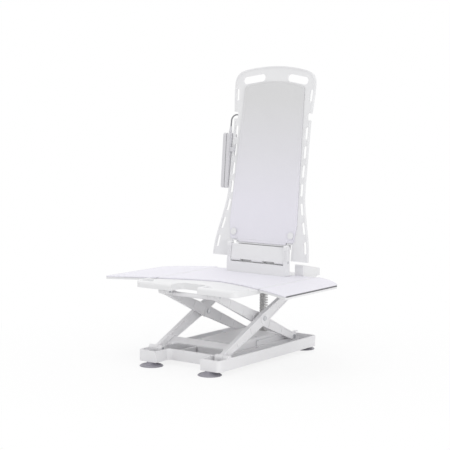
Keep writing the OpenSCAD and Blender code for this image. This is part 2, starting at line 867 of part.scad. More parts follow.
module seat_shell() {
    color("whitesmoke")
    difference() {
        union() {
            difference() {
                union() {
                    translate([0, 0, skirt_z]) linear_extrude(seat_skin + seat_skirt) seat_plan(0);
                    translate([0, 0, seat_skin_z]) {
                        linear_extrude(seat_skin + bead_h / 2) bead_plan(bead_w);
                        linear_extrude(seat_skin + bead_h) bead_plan(bead_w - bead_step);
                    }
                }
                translate([0, 0, skirt_z - cut]) linear_extrude(seat_skirt + cut) seat_plan(seat_wall);
                across(-seat_half - cut, seat_half + cut)
                difference() {
                    translate([seat_front_y - cut, bead_top - front_roll]) square(front_roll + cut);
                    translate([seat_front_y + front_roll, bead_top - front_roll]) circle(front_roll);
                }
            }
            both() {
                seat_lugs();
                flap_barrels(0);
                flap_webs(0, seat_half - cut, flap_hinge_x, flap_hinge_z - flap_hinge_d / 2);
                translate([up_rail_x0, rail_y0, seat_pivot_z + rail_half])
                    cube([rail_w, rail_y1 - rail_y0, seat_skin_z + cut - seat_pivot_z - rail_half]);
            }
            for (i = [0 : seat_ribs - 1])
                translate([-low_rail_x0, seat_rib_y0 + i * seat_rib_pitch, seat_skin_z - seat_rib_h])
                    cube([2 * low_rail_x0, seat_rib_w, seat_rib_h + cut]);
            translate([0, 0, socket_z0])
            linear_extrude(seat_skin_top - cut - socket_z0)
            socket_plan(socket_wall);
        }
        translate([0, 0, socket_z0 - cut]) linear_extrude(seat_skin_z - socket_z0 + cut) socket_plan(0);
        both() {
            translate([0, pivot_y, seat_pivot_z]) rod(low_rail_x0 - cut, outer_arm_x + cut, bore_r);
            flap_hinge_bore(flap_pin_d / 2 + pin_clear);
            translate([(up_rail_x0 + up_rail_x1) / 2, 0, seat_pivot_z + rail_half - cut]) along_rail()
                cylinder(h = rivet_l + cut, r = rivet_r + pin_clear);
        }
        at_bracket_screws() cylinder(h = seat_skin_top + cut, r = screw_r + pin_clear);
        both() at_rail_screws() cylinder(h = seat_skin_top + cut, r = screw_r + pin_clear);
    }
}

module seat_pivot_pins() {
    color("silver")
    both() translate([0, pivot_y, seat_pivot_z])
        rod(arm_x - side_clear - lug_t, inner_face_x + side_clear + lug_t, pin_r);
}

module upper_guide_rails() {
    color("silver")
    both()
    difference() {
        along(rail_y0, rail_y1)
        translate([up_rail_x0 + up_rail_x1, seat_pivot_z]) mirror([1, 0]) rail_section(up_rail_x0);
        translate([(up_rail_x0 + up_rail_x1) / 2, 0, seat_pivot_z + rail_half - rail_t - cut]) along_rail()
            cylinder(h = rail_t + 2 * cut, r = rivet_r + pin_clear);
    }
}

module upper_rail_rivets() {
    color("gray")
    both() translate([(up_rail_x0 + up_rail_x1) / 2, 0, seat_pivot_z + rail_half - rail_t]) along_rail()
        cylinder(h = rail_t + rivet_l - cut, r = rivet_r);
}

// Front edge of the covers: furthest back in the middle, sweeping forward to the flaps' tips
sweep_power = 1.45;
sweep_steps = 8;
function front_edge(x) = -cover_front - cover_sweep * pow(abs(x) / flap_tip, sweep_power);

module seat_cover() {
    wing_y = rear_rail_front - side_clear;
    bracket_x = post_x1 + side_clear;
    bracket_y = hinge_y - post_l / 2 - bracket_lip - side_clear;
    color("lavender")
    translate([0, 0, seat_skin_top + pad_clear])
    linear_extrude(seat_cover_t - pad_clear)
    polygon(concat(
        [for (i = [-sweep_steps : sweep_steps]) let (x = i * seat_half / sweep_steps) [x, front_edge(x)]],
        [[seat_half, wing_y], [bracket_x, wing_y], [bracket_x, bracket_y],
         [-bracket_x, bracket_y], [-bracket_x, wing_y], [-seat_half, wing_y]]
    ));
}

// Plan of a flap: swept front edge, round front corner, straight side, rear swept inwards
function bend(a, b, c, t) = a * (1 - t) * (1 - t) + b * 2 * t * (1 - t) + c * t * t;

module flap_plan() {
    inner = flap_tip - flap_corner;
    step = (inner - flap_x0) / sweep_steps;
    front = [for (i = [0 : sweep_steps]) let (x = flap_x0 + i * step) [x, front_edge(x)]];
    corner = [for (t = [0.25 : 0.25 : 1])
        bend([inner, front_edge(inner)], [flap_tip, front_edge(flap_tip)],
             [flap_tip, front_edge(flap_tip) + flap_corner], t)];
    rear = [for (t = [0 : 0.1 : 1])
        bend([flap_tip, flap_side_y],
             [flap_hinge_x + flap_bulge_x * flap_w, flap_side_y + flap_bulge_y * flap_round_l],
             [flap_x0, flap_side_y + flap_round_l], t)];
    polygon(concat(front, corner, rear));
}

module flap() {
    stop_x = seat_half + side_clear;
    color("gainsboro")
    difference() {
        union() {
            translate([0, 0, seat_skin_top - flap_t]) linear_extrude(flap_t) flap_plan();
            flap_barrels(1);
            flap_webs(1, flap_hinge_x, flap_x0 + cut, flap_hinge_z - flap_hinge_d / 2);
            for (i = [1 : 2 : knuckles - 1])
                translate([stop_x, knuckle_y0 + (i + 0.25) * knuckle_l, seat_skin_top - flap_t])
                    cube([flap_x0 + cut - stop_x, knuckle_l / 2,
                          flap_hinge_z - flap_hinge_d / 2 + 0.6 - seat_skin_top + flap_t]);
        }
        flap_hinge_bore(flap_pin_d / 2 + pin_clear);
    }
}

module flap_cover() {
    color("lavender")
    translate([0, 0, seat_skin_top + pad_clear]) linear_extrude(seat_cover_t - pad_clear) flap_plan();
}

module flap_right() { flap(); }
module flap_left() { mirror([1, 0, 0]) flap(); }
module flap_cover_right() { flap_cover(); }
module flap_cover_left() { mirror([1, 0, 0]) flap_cover(); }

module flap_hinge_pins() {
    color("silver") both() flap_hinge_bore(flap_pin_d / 2);
}

// Hinge bracket on the seat: a riser between two posts that carry the backrest's hinge pins
hinge_z = seat_top + hinge_rise;
hinge_pin_r = hinge_pin_d / 2;
bracket_foot = 6;
bracket_lip = 2;
bracket_rear = 18;
riser_t = 16;
riser_z = hinge_z - barrel_d / 2 - 1.5;
wall_t = 3;
wall_y = hinge_y + barrel_d / 2 + 1.5;
post_groove = 2;
groove_z = hinge_z + 2 * post_groove;
rail_screw_x = rear_rail_x0 + 25.8;
rear_rail_end = seat_rear + 19;
rear_rail_front = hinge_y + 38;
rear_rail_top = hinge_z - 9;
rear_rail_low = seat_skin_top + 22;
rear_rail_drop = 4;
rail_screw_seat = 8;

module at_bracket_screws() {
    for (sx = [-1, 1], x = [post_x - 58, post_x - 6])
        translate([sx * x, hinge_y + post_l / 2 + bracket_rear / 2, 0]) children();
}

module at_rail_screws() {
    for (f = [0.22, 0.78])
        translate([rail_screw_x, rear_rail_front + f * (seat_rear - rear_rail_front), 0]) children();
}

module hinge_bracket() {
    color("whitesmoke")
    difference() {
        union() {
            translate([0, 0, seat_skin_top])
            linear_extrude(bracket_foot)
            rounded_box(-post_x1, post_x1, hinge_y - post_l / 2 - bracket_lip,
                        hinge_y + post_l / 2 + bracket_rear, 5);
            across(-post_x - cut, post_x + cut)
            {
                translate([hinge_y - post_l / 2, seat_skin_top]) square([riser_t, riser_z - seat_skin_top]);
                translate([wall_y, seat_skin_top]) square([wall_t, hinge_z + 2 - seat_skin_top]);
            }
            both() across(post_x, post_x1) {
                translate([hinge_y - post_l / 2, seat_skin_top])
                    square([post_l, hinge_z + post_rise - post_l / 2 - seat_skin_top]);
                translate([hinge_y, hinge_z + post_rise - post_l / 2]) circle(post_l / 2);
            }
        }
        both() {
            translate([0, hinge_y, hinge_z]) rod(post_x - cut, post_x1 + cut, hinge_pin_r + pin_clear);
            for (i = [0 : 4])
                translate([post_x + post_w / 4, hinge_y - post_l / 2 - cut, groove_z + i * 4 * post_groove])
                    cube([post_w, post_groove + cut, 2 * post_groove]);
        }
        at_bracket_screws() cylinder(h = hinge_z, r = screw_r + pin_clear);
    }
}

module hinge_pins() {
    color("silver")
    both() translate([0, hinge_y, hinge_z]) rod(slot_out, post_x1, hinge_pin_r);
}

// Rail behind the backrest: it rests the reclined back and runs out over the rear of the seat
module rear_rail() {
    top = seat_skin_top;
    color("whitesmoke")
    difference() {
        across(rear_rail_x0, rear_rail_x1)
        polygon([
            [rear_rail_front, top], [rear_rail_front, rear_rail_top - 3],
            [rear_rail_front + 3, rear_rail_top],
            [rear_rail_end - 4, rear_rail_low], [rear_rail_end, rear_rail_low - 4],
            [rear_rail_end, top - rear_rail_drop], [seat_rear + side_clear, top - rear_rail_drop],
            [seat_rear + side_clear, top]
        ]);
        at_rail_screws() {
            cylinder(h = rear_rail_top, r = screw_r + pin_clear);
            translate([0, 0, top + rail_screw_seat]) cylinder(h = rear_rail_top, r = screw_head_r + 0.3);
        }
    }
}

module rear_rail_right() { rear_rail(); }
module rear_rail_left() { mirror([1, 0, 0]) rear_rail(); }

// Screws down through the bracket and the rear rails
module seat_screws() {
    foot_top = seat_skin_top + bracket_foot;
    color("silver") {
        at_bracket_screws() {
            translate([0, 0, seat_skin_z - 4]) cylinder(h = foot_top - seat_skin_z + 4, r = screw_r);
            translate([0, 0, foot_top]) cylinder(h = screw_head_t, r = screw_head_r);
        }
        both() at_rail_screws() {
            translate([0, 0, seat_skin_z - 2]) cylinder(h = seat_skin + rail_screw_seat + 2, r = screw_r);
            translate([0, 0, seat_skin_top + rail_screw_seat]) cylinder(h = screw_head_t, r = screw_head_r);
        }
    }
}

// Backrest, in its own frame: X across, Y out of the back, Z up along its slope from its foot
hinge_n = 4.3;
hinge_s = 5.6;
shoulder_below = 206;
shoulder_s = back_l - shoulder_below;
shoulder_l = 140;
waist_l = 210;
waist_s = shoulder_s - waist_l;
corner_s = back_l - 62;
corner_w = 36;
corner_drop = 9;
arch = 15.3;
arch_x = waist + shoulder - corner_w;
arch_r = (arch_x * arch_x + arch * arch) / (2 * arch);
foot_half = waist + foot_flare;
dish_r = (foot_half * foot_half + (back_dish - 1) * (back_dish - 1)) / (2 * (back_dish - 1));
hinge_cut_x = post_x1 + 1.5;
hinge_cut_s = post_rise - 11;
post_cut_x = post_x - 2;
post_cut_s = post_rise - hinge_s + 2.5;
rim_lip = 1.5;
rim_back = 4;
slot_inset = rim_w + side_slot_w / 2 + 0.5;
notch_below = 171;
notch_s = back_l - notch_below;
notch_slot_s = notch_s + 7.5;
slots_below = floor((notch_slot_s - side_slot_l) / side_slot_pitch);
notch_h = 24;
notch_d = 13;
hand_slot_x = 88;
hand_slot_s = back_l - 45;
hand_slot_turn = asin(hand_slot_x / arch_r);
button_x = 116;
button_s = 84;
button_stem_r = 4;
carrier_half = post_x - 1.5;
carrier_t = 6;
carrier_top = hinge_cut_s + 64;
carrier_n = back_dish + back_skin + rim_back + 1;
carrier_screw_s = carrier_top - 22;

module at_back() {
    translate([0, hinge_y, hinge_z]) rotate([-back_tilt, 0, 0]) translate([0, hinge_n, hinge_s]) children();
}

// Smooth step from 0 to 1, and the height of the dished skin's front at x
function ease(t) = t < 0 ? 0 : t > 1 ? 1 : t * t * (3 - 2 * t);
function dish_n(x) = back_dish - dish_r + sqrt(dish_r * dish_r - x * x);
function back_half(s) =
    waist + foot_flare * ease(1 - s / waist_s) + shoulder * ease((s - shoulder_s) / shoulder_l);
function mirrored(points) = [for (i = [len(points) - 1 : -1 : 0]) [-points[i][0], points[i][1]]];

// Right half of the backrest's outline, drawn in by g: flared foot, waist, shoulder, round corner, arch
function back_edge(g) = concat(
    [for (i = [0 : 10]) let (s = i * waist_s / 10) [back_half(s) - g, max(s, g)]],
    [for (i = [0 : 6]) let (s = shoulder_s + i * (corner_s - shoulder_s) / 6) [back_half(s) - g, s]],
    [for (t = [0.25 : 0.25 : 0.75]) bend(
        [back_half(corner_s) - g, corner_s], [back_half(corner_s) - g, back_l - arch - corner_drop - g],
        [arch_x - g, back_l - arch - g * 0.9], t)],
    [for (i = [0 : 5]) let (x = (arch_x - g) * (1 - i / 6))
        [x, back_l - arch_r + sqrt(pow(arch_r - g, 2) - x * x)]]
);

module back_plan(g) {
    polygon(concat(back_edge(g), [[0, back_l - g]], mirrored(back_edge(g))));
}

// Solid between two radii round the axis of the dished skin
module dish_shell(r0, r1) {
    translate([0, back_dish - dish_r, -back_l])
    difference() {
        cylinder(h = 3 * back_l, r = r1, $fn = 720);
        translate([0, 0, -cut]) cylinder(h = 3 * back_l + 2 * cut, r = r0, $fn = 720);
    }
}

// Long hole with round ends, along Y
module long_hole(l, w) {
    square([w, l - w], center = true);
    for (sy = [-1, 1]) translate([0, sy * (l - w) / 2]) circle(w / 2);
}

// Slots down both edges; one of them is a notch that opens to the side
module side_slots() {
    for (i = [-slots_below : 1]) {
        s = notch_slot_s + i * side_slot_pitch;
        lean = atan((back_half(s + 5) - back_half(s - 5)) / 10);
        if (i != 0)
            translate([back_half(s) - slot_inset, s]) rotate(-lean) long_hole(side_slot_l, side_slot_w);
    }
    translate([back_half(notch_s) - notch_d, notch_s - notch_h / 2 + 4]) square([2 * notch_d, notch_h - 8]);
    translate([back_half(notch_s) - notch_d + 4, notch_s - notch_h / 2]) square([2 * notch_d, notch_h]);
    for (sy = [-1, 1])
        translate([back_half(notch_s) - notch_d + 4, notch_s + sy * (notch_h / 2 - 4)]) circle(4);
}

module hand_slots() {
    both() translate([hand_slot_x, hand_slot_s]) rotate(90 - hand_slot_turn)
        long_hole(hand_slot_l, hand_slot_h);
}

// Cut-out for the hinge, grown by g, higher over the two posts
module hinge_cut_out(g) {
    translate([-hinge_cut_x - g, -hinge_s - cut])
        square([2 * (hinge_cut_x + g), hinge_cut_s + hinge_s + cut + g]);
    both() translate([post_cut_x - g, 0]) square([hinge_cut_x - post_cut_x + 2 * g, post_cut_s + g]);
}

// Places on the back where the carrier is screwed on
module at_carrier_screws() {
    for (sx = [-1, 1], x = [0.4, 0.8])
        translate([sx * x * carrier_half, 0, carrier_screw_s]) rotate([-90, 0, 0]) children();
}

module at_cover_buttons() {
    for (sx = [-1, 1]) translate([sx * button_x, 0, button_s]) rotate([-90, 0, 0]) children();
}

module back_panel() {
    color("whitesmoke")
    at_back()
    difference() {
        union() {
            intersection() {
                along(0, rim_d) back_plan(0);
                dish_shell(dish_r, dish_r + back_skin);
            }
            intersection() {
                along(-rim_lip, rim_d + rim_back) {
                    difference() {
                        back_plan(0);
                        back_plan(rim_w);
                    }
                    intersection() {
                        hinge_cut_out(rim_w);
                        back_plan(0);
                    }
                }
                dish_shell(dish_r - rim_lip, dish_r + back_skin + rim_back);
            }
            at_carrier_screws() translate([0, 0, back_dish + back_skin / 2])
                cylinder(h = carrier_n - back_dish - back_skin / 2, r = screw_boss_r);
        }
        along(-rim_lip - cut, rim_d + rim_back + cut) {
            hinge_cut_out(0);
            both() side_slots();
            hand_slots();
        }
        at_cover_buttons() cylinder(h = rim_d + cut, r = button_stem_r + pin_clear);
        at_carrier_screws() translate([0, 0, back_dish + 2]) cylinder(h = rim_d, r = screw_r + pin_clear);
    }
}

// Right half of the cover's outline, from just above the hinge's cut-out
cover_foot = hinge_cut_s + rim_w + side_clear;
cover_side_s = post_cut_s + rim_w + side_clear;
cover_top_s = back_l - 52;
cover_top_x = waist - 38;
cover_arch = 18;
function cover_edge() = concat(
    [[post_cut_x - rim_w - side_clear, cover_foot], [post_cut_x - rim_w - side_clear, cover_side_s],
     [waist - 30, cover_side_s], [waist - 24, cover_side_s + 8], [waist - 17, cover_side_s + 60],
     [waist - 21, waist_s - 15], [waist - 26, shoulder_s - 77], [waist - 32, back_l - 115],
     [waist - 32, back_l - 76], [cover_top_x, cover_top_s - cover_arch]],
    [for (i = [1 : 5]) let (x = cover_top_x * (1 - i / 6))
        [x, cover_top_s - cover_arch * pow(x / cover_top_x, 2)]]
);

module back_cover() {
    color("lavender")
    at_back()
    difference() {
        intersection() {
            along(-rim_d, rim_d) polygon(concat(cover_edge(), [[0, cover_top_s]], mirrored(cover_edge())));
            dish_shell(dish_r - pad_clear - back_cover_t, dish_r - pad_clear);
        }
        at_cover_buttons() translate([0, 0, -rim_d]) cylinder(h = 2 * rim_d, r = button_stem_r + side_clear);
    }
}

// Domed buttons that hold the cover's foot to the panel
module cover_buttons() {
    head = dish_n(button_x + cover_button_d / 2) - back_cover_t - 2 * pad_clear;
    color("white")
    at_back() at_cover_buttons() {
        translate([0, 0, head - 2]) cylinder(h = 2, r = cover_button_d / 2);
        translate([0, 0, head - 3.2]) cylinder(h = 1.2 + cut / 2, r = cover_button_d / 2 - 2.5);
        translate([0, 0, head - cut])
            cylinder(h = dish_n(button_x) + back_skin + 2 - head, r = button_stem_r);
    }
}

// Carrier between the posts: a front plate with hinge barrels, a shelf through the cut-out and a
// plate behind the panel
module back_carrier() {
    t = carrier_t;
    n0 = -hinge_n - barrel_d / 2;
    n1 = carrier_n;
    shelf = hinge_cut_s - 2;
    foot = -hinge_s - 2.5;
    color("whitesmoke")
    at_back()
    difference() {
        union() {
            across(-carrier_half, carrier_half)
            polygon([
                [n0, foot], [n0, shelf], [n1, shelf], [n1, carrier_top], [n1 + t, carrier_top],
                [n1 + t, shelf - t], [n0 + t, shelf - t], [n0 + t, foot]
            ]);
            for (x = [[-carrier_half, -slot_out], [-slot_in, slot_in], [slot_out, carrier_half]])
                across(x[0], x[1]) translate([-hinge_n, -hinge_s]) circle(barrel_d / 2);
        }
        translate([0, -hinge_n, -hinge_s])
            rod(-carrier_half - cut, carrier_half + cut, hinge_pin_r + pin_clear);
        at_carrier_screws() cylinder(h = carrier_n + t + cut, r = screw_r + pin_clear);
    }
}

module carrier_screws() {
    back = carrier_n + carrier_t;
    color("silver")
    at_back() at_carrier_screws() {
        translate([0, 0, back_dish + 2.5]) cylinder(h = back - back_dish - 2.5, r = screw_r);
        translate([0, 0, back]) cylinder(h = screw_head_t, r = screw_head_r);
    }
}

// Handset, hooked on the left edge of the backrest with its keys facing outwards
handset_x = waist + 3;
handset_s = shoulder_s - 28 - handset_l;
handset_n = rim_d / 2;
handset_top = handset_s + handset_l;
handset_corner = 9;
gasket_t = 1.5;
shell_split = 12;
board_t = 1.6;
board_x = shell_split - 1;
key_clear = 0.3;
key_flange = 1.4;
key_rise = key_travel;

function unit(v) = v / norm(v);
function round_corner(a, p, c, r) =
    [for (t = [0 : 0.25 : 1]) bend(p + r * unit(a - p), p, p + r * unit(c - p), t)];

// Side view of the handset, drawn in by g, wider at its top
module handset_plan(g) {
    w1 = handset_w / 2 - g;
    w0 = handset_foot_w / 2 - g;
    p = [[-w0, g], [w0, g], [w1, handset_l - g], [-w1, handset_l - g]];
    translate([handset_n, handset_s])
    polygon([for (i = [0 : 3]) each round_corner(p[(i + 3) % 4], p[i], p[(i + 1) % 4], handset_corner - g)]);
}

// A slice of the handset between two depths, counted outwards from its back
module handset_slice(d0, d1) {
    across(-handset_x - d1, -handset_x - d0) children();
}

// A round piece square to the handset's face, at a height above its foot
module at_key(h) {
    translate([-handset_x, handset_n, handset_s + h]) rotate([0, -90, 0]) children();
}

key_up_h = handset_l - 38;
key_down_h = key_up_h - key_d - 14;
key_stop_h = key_down_h - key_d - 12;
key_stop_d = key_d - 6;

module at_board_posts() {
    for (h = [24, handset_l - 16]) at_key(h) children();
}

module handset_back_shell() {
    color("whitesmoke")
    at_back() {
        difference() {
            handset_slice(0, shell_split) handset_plan(0);
            handset_slice(handset_wall, shell_split + cut) handset_plan(handset_wall);
        }
        at_board_posts() translate([0, 0, handset_wall - cut / 2])
            cylinder(h = board_x - handset_wall + cut / 2, r = 3);
    }
}

module handset_gasket() {
    color("dimgray")
    at_back()
    handset_slice(shell_split, shell_split + gasket_t)
    difference() {
        handset_plan(0);
        handset_plan(handset_wall);
    }
}

module handset_front_shell() {
    color("whitesmoke")
    at_back()
    difference() {
        handset_slice(shell_split + gasket_t, handset_t) handset_plan(0);
        handset_slice(shell_split + gasket_t - cut, handset_t - handset_wall) handset_plan(handset_wall);
        at_key(key_up_h) cylinder(h = handset_t + cut, r = key_d / 2 + key_clear);
        at_key(key_down_h) cylinder(h = handset_t + cut, r = key_d / 2 + key_clear);
        at_key(key_stop_h) cylinder(h = handset_t + cut, r = key_stop_d / 2 + key_clear);
    }
}

module handset_board() {
    color("seagreen")
    at_back()
    handset_slice(board_x, board_x + board_t) handset_plan(handset_wall + 1);
}

module handset_battery() {
    color("steelblue")
    at_back()
    handset_slice(handset_wall, board_x - 1.5)
    translate([handset_n - 10, handset_s + 36]) square([20, 90]);
}

// A key: its cap stands proud of the face by its travel, its flange holds it behind the face
module key(h, d) {
    inside = handset_t - handset_wall - key_clear;
    at_back() at_key(h) {
        translate([0, 0, inside - key_flange]) cylinder(h = key_flange, r = d / 2 + 1.2);
        translate([0, 0, inside - key_flange])
            cylinder(h = handset_t + key_rise - inside + key_flange, r = d / 2);
        translate([0, 0, board_x + board_t + key_travel + key_clear])
            cylinder(h = inside - board_x - board_t - key_travel - key_clear, r = 3);
    }
}

module key_up() { color("lightgray") key(key_up_h, key_d); }
module key_down() { color("lightgray") key(key_down_h, key_d); }
module key_stop() { color("firebrick") key(key_stop_h, key_stop_d); }

// Hook that hangs over the backrest's rim into one of its side slots
module handset_hook() {
    slot_s = notch_slot_s - 2 * side_slot_pitch;
    slot_x = back_half(slot_s) - slot_inset;
    hook_h = 15;
    hook_t = 4;
    reach = slot_x - 2.5;
    color("whitesmoke")
    at_back()
    translate([0, 0, slot_s - hook_h / 2])
    linear_extrude(hook_h) {
        translate([-handset_x, -hook_t]) square([handset_x - reach, hook_t - key_clear]);
        translate([-slot_x - 2.5, -hook_t]) square([5, hook_t + 8]);
        translate([-handset_x, -hook_t]) square([handset_x - back_half(slot_s) - key_clear, hook_t + 12]);
    }
}

// Cord: gland on the handset, notch in the rim, then two folds behind the panel to a socket on the carrier
gland_l = 24;
gland_d = cord_d + 7;
cord_x = handset_x + shell_split + 1;
socket_l = 18;
fold_low = carrier_top + 37;
fold_top = notch_s - 122;
cord_n = carrier_n + carrier_t / 2;
cord_route = [
    [-cord_x, 11, notch_s - 39], [-cord_x, 11, notch_s - 25], [-cord_x + 1, 11, notch_s - 13],
    [-162, 12, notch_s - 3], [-152, 14, notch_s + 2], [-140, 19, notch_s], [-129, 24, notch_s - 7],
    [-119, cord_n, notch_s - 21], [-112, cord_n, notch_s - 39], [-110, cord_n, notch_s - 65],
    [-110, cord_n, fold_top - 23], [-110, cord_n, (fold_low + fold_top) / 2], [-110, cord_n, fold_low + 33],
    [-109, cord_n, fold_low + 19], [-103, cord_n, fold_low + 6], [-90, cord_n, fold_low],
    [-77, cord_n, fold_low + 6], [-71, cord_n, fold_low + 19], [-70, cord_n, fold_low + 33],
    [-70, cord_n, (fold_low + fold_top) / 2], [-70, cord_n, fold_top - 33], [-69, cord_n, fold_top - 19],
    [-63, cord_n, fold_top - 6], [-50, cord_n, fold_top], [-37, cord_n, fold_top - 6],
    [-31, cord_n, fold_top - 19], [-30, cord_n, fold_top - 33], [-30, cord_n, (fold_low + fold_top) / 2],
    [-30, cord_n, fold_low + 33], [-30, cord_n, carrier_top + socket_l]
];
cord_steps = 2;
cord_sides = 8;
clip_places = [[-110, notch_s - 105], [-110, fold_low + 73], [-70, (fold_low + fold_top) / 2],
               [-30, fold_top - 73]];
clip_half = 7;
clip_h = 12;

// Point at parameter t on a smooth curve through the route's points
function route_at(p, i) = p[max(0, min(len(p) - 1, i))];
function spline(p, i, t) =
    0.5 * (2 * route_at(p, i)
    + (route_at(p, i + 1) - route_at(p, i - 1)) * t
    + (2 * route_at(p, i - 1) - 5 * route_at(p, i) + 4 * route_at(p, i + 1) - route_at(p, i + 2)) * t * t
    + (3 * route_at(p, i) - route_at(p, i - 1) - 3 * route_at(p, i + 1) + route_at(p, i + 2)) * t * t * t);
function smooth_route(p, n) = concat(
    [for (i = [0 : len(p) - 2], k = [0 : n - 1]) spline(p, i, k / n)], [p[len(p) - 1]]);

// Tube of radius r along a path that never runs straight to the rear
module tube_along(path, r, sides) {
    n = len(path);
    function heading(i) = unit(path[min(n - 1, i + 1)] - path[max(0, i - 1)]);
    function ring(i) = let (h = heading(i), b = unit(cross(h, [0, 1, 0])), m = cross(b, h))
        [for (k = [0 : sides - 1]) path[i] + r * (b * cos(k * 360 / sides) + m * sin(k * 360 / sides))];
    walls = [for (i = [0 : n - 2], k = [0 : sides - 1])
        let (a = i * sides + k, b = i * sides + (k + 1) % sides)
        each [[a, a + sides, b], [b, a + sides, b + sides]]];
    start = [for (k = [1 : sides - 2]) [0, k, k + 1]];
    finish = [for (k = [1 : sides - 2]) let (e = (n - 1) * sides) [e, e + k + 1, e + k]];
    polyhedron([for (i = [0 : n - 1]) each ring(i)], concat(walls, start, finish));
}

module handset_gland() {
    color("dimgray")
    at_back()
    translate([-cord_x, handset_n, handset_top])
    cylinder(h = gland_l, r1 = gland_d / 2, r2 = cord_d / 2 + 1);
}

module handset_cord() {
    color("dimgray")
    at_back() tube_along(smooth_route(cord_route, cord_steps), cord_d / 2, cord_sides);
}

module cord_clips() {
    color("whitesmoke")
    at_back()
    for (c = clip_places) {
        n0 = dish_n(abs(c[0]) - clip_half) + back_skin + pad_clear;
        n1 = carrier_n + carrier_t / 2;
        translate([c[0], n1, c[1]])
        difference() {
            translate([-clip_half, n0 - n1, -clip_h / 2]) cube([2 * clip_half, n1 - n0 + cord_d, clip_h]);
            translate([0, 0, -clip_h]) cylinder(h = 2 * clip_h, r = cord_d / 2 + side_clear);
        }
    }
}

module cord_socket() {
    last = cord_route[len(cord_route) - 1];
    color("dimgray")
    at_back()
    translate([last[0], carrier_n + carrier_t / 2, carrier_top])
    cylinder(h = socket_l, r1 = gland_d / 2, r2 = cord_d / 2 + 1);
}

base_frame();
suction_cups();
cup_studs();
front_pivot_pins();
lower_guide_rails();
lower_rail_rivets();
drive_cover();
cover_screws();
gearmotor();
chain_guide();
lift_chain();
stowed_chain();
drive_sprocket();
chain_head();
outer_arm_left();
outer_arm_right();
outer_cross_plate();
centre_pivot_pins();
centre_spacers();
upper_glide_pins();
upper_glide_blocks();
inner_arm_left();
inner_arm_right();
inner_cross_tube();
lower_glide_pins();
lower_glide_blocks();
seat_shell();
seat_pivot_pins();
upper_guide_rails();
upper_rail_rivets();
seat_cover();
hinge_bracket();
seat_screws();
hinge_pins();
rear_rail_left();
rear_rail_right();
flap_hinge_pins();
flap_left();
flap_right();
flap_cover_left();
flap_cover_right();
back_panel();
back_cover();
cover_buttons();
back_carrier();
carrier_screws();
handset_back_shell();
handset_front_shell();
handset_gasket();
handset_board();
handset_battery();
handset_hook();
key_up();
key_down();
key_stop();
handset_gland();
handset_cord();
cord_clips();
cord_socket();
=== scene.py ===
"""Looks of a bath lift: finishes for its solids, soft covers, a cord, a push chain and a studio.

Lengths are metres in the part's own frame: X across, Y to the rear, Z up from the bath floor.
"""

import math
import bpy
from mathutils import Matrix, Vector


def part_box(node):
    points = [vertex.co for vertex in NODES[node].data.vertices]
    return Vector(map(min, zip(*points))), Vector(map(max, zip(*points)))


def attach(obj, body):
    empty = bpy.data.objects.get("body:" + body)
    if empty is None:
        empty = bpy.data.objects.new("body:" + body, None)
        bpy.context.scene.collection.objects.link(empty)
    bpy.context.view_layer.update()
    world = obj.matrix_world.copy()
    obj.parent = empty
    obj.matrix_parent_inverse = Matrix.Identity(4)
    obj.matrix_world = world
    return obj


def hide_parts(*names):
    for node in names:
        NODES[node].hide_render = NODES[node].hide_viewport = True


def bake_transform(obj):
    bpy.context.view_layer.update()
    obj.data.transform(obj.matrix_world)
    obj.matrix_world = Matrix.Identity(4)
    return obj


bl_info = {
    "name": "Bath lift looks",
    "version": (1, 0, 0),
    "blender": (4, 5, 0),
    "location": "View3D > Sidebar > Bath lift",
    "description": "Dresses the bath lift's solids with finishes, covers, a cord and a studio",
    "category": "Object",
}

import bpy
import numpy as np
from bpy.props import FloatProperty, FloatVectorProperty, IntProperty, PointerProperty
from mathutils import Matrix, Vector

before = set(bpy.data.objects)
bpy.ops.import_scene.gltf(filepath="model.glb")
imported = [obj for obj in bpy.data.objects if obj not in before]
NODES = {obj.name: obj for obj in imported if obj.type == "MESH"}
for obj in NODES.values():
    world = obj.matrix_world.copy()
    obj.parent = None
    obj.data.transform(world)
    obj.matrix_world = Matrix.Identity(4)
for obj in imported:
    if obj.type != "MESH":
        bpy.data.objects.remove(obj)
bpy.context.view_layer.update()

# The backrest's frame: its hinge, the foot's distance out and up from there, the lean and the dish
HINGE_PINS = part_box("hinge_pins")
HINGE = np.array([0.0, 0.158, (HINGE_PINS[0][2] + HINGE_PINS[1][2]) / 2])
HINGE_TO_FOOT = (0.0043, 0.0056)
BACK_TILT = math.radians(7.4)
BACK_DISH, DISH_RADIUS = 0.015, 1.323571

# The seat's and the flaps' covers: half width of the seat's, inner and outer side of a flap's
SEAT_HALF, FLAP_IN, FLAP_TIP = 0.198, 0.207, 0.355
# Their common front edge: place in the middle, reach forward at the tips, power of the curve
SWEEP_MIDDLE, SWEEP_REACH, SWEEP_POWER = -0.071, 0.149, 1.45
# Cut-out round the hinge bracket: half width, front edge, width of its steep sides
BRACKET_HALF, BRACKET_FRONT, BRACKET_SIDE = 0.1215, 0.1455, 1e-4
# A flap's round front corner, and its rear edge as a quadratic curve (across, along)
FLAP_CORNER = 0.010
FLAP_REAR = ((FLAP_TIP, 0.32156, FLAP_IN), (0.082, 0.1574, 0.212))

# The back cover: side edge (half width, height up the slope) from foot to head
BACK_SIDE = np.array([
    (0.1230, 0.0589), (0.1290, 0.0669), (0.1360, 0.1189), (0.1320, 0.2250),
    (0.1270, 0.3730), (0.1210, 0.5410), (0.1210, 0.5800), (0.1150, 0.5860)])
# Foot between the hinge posts (half width, height), head in the middle and its fall to the sides
BACK_FOOT_HALF, BACK_FOOT, BACK_HEAD, HEAD_FALL = 0.100, 0.0510, 0.6040, 0.018
BACK_THICK, PANEL_GAP = 0.004, 0.0002
# Dimple under a button: place across and up, radius, depth
BUTTON_ACROSS, BUTTON_UP, DIMPLE_RADIUS, DIMPLE_DEPTH = 0.116, 0.084, 0.016, 0.0012

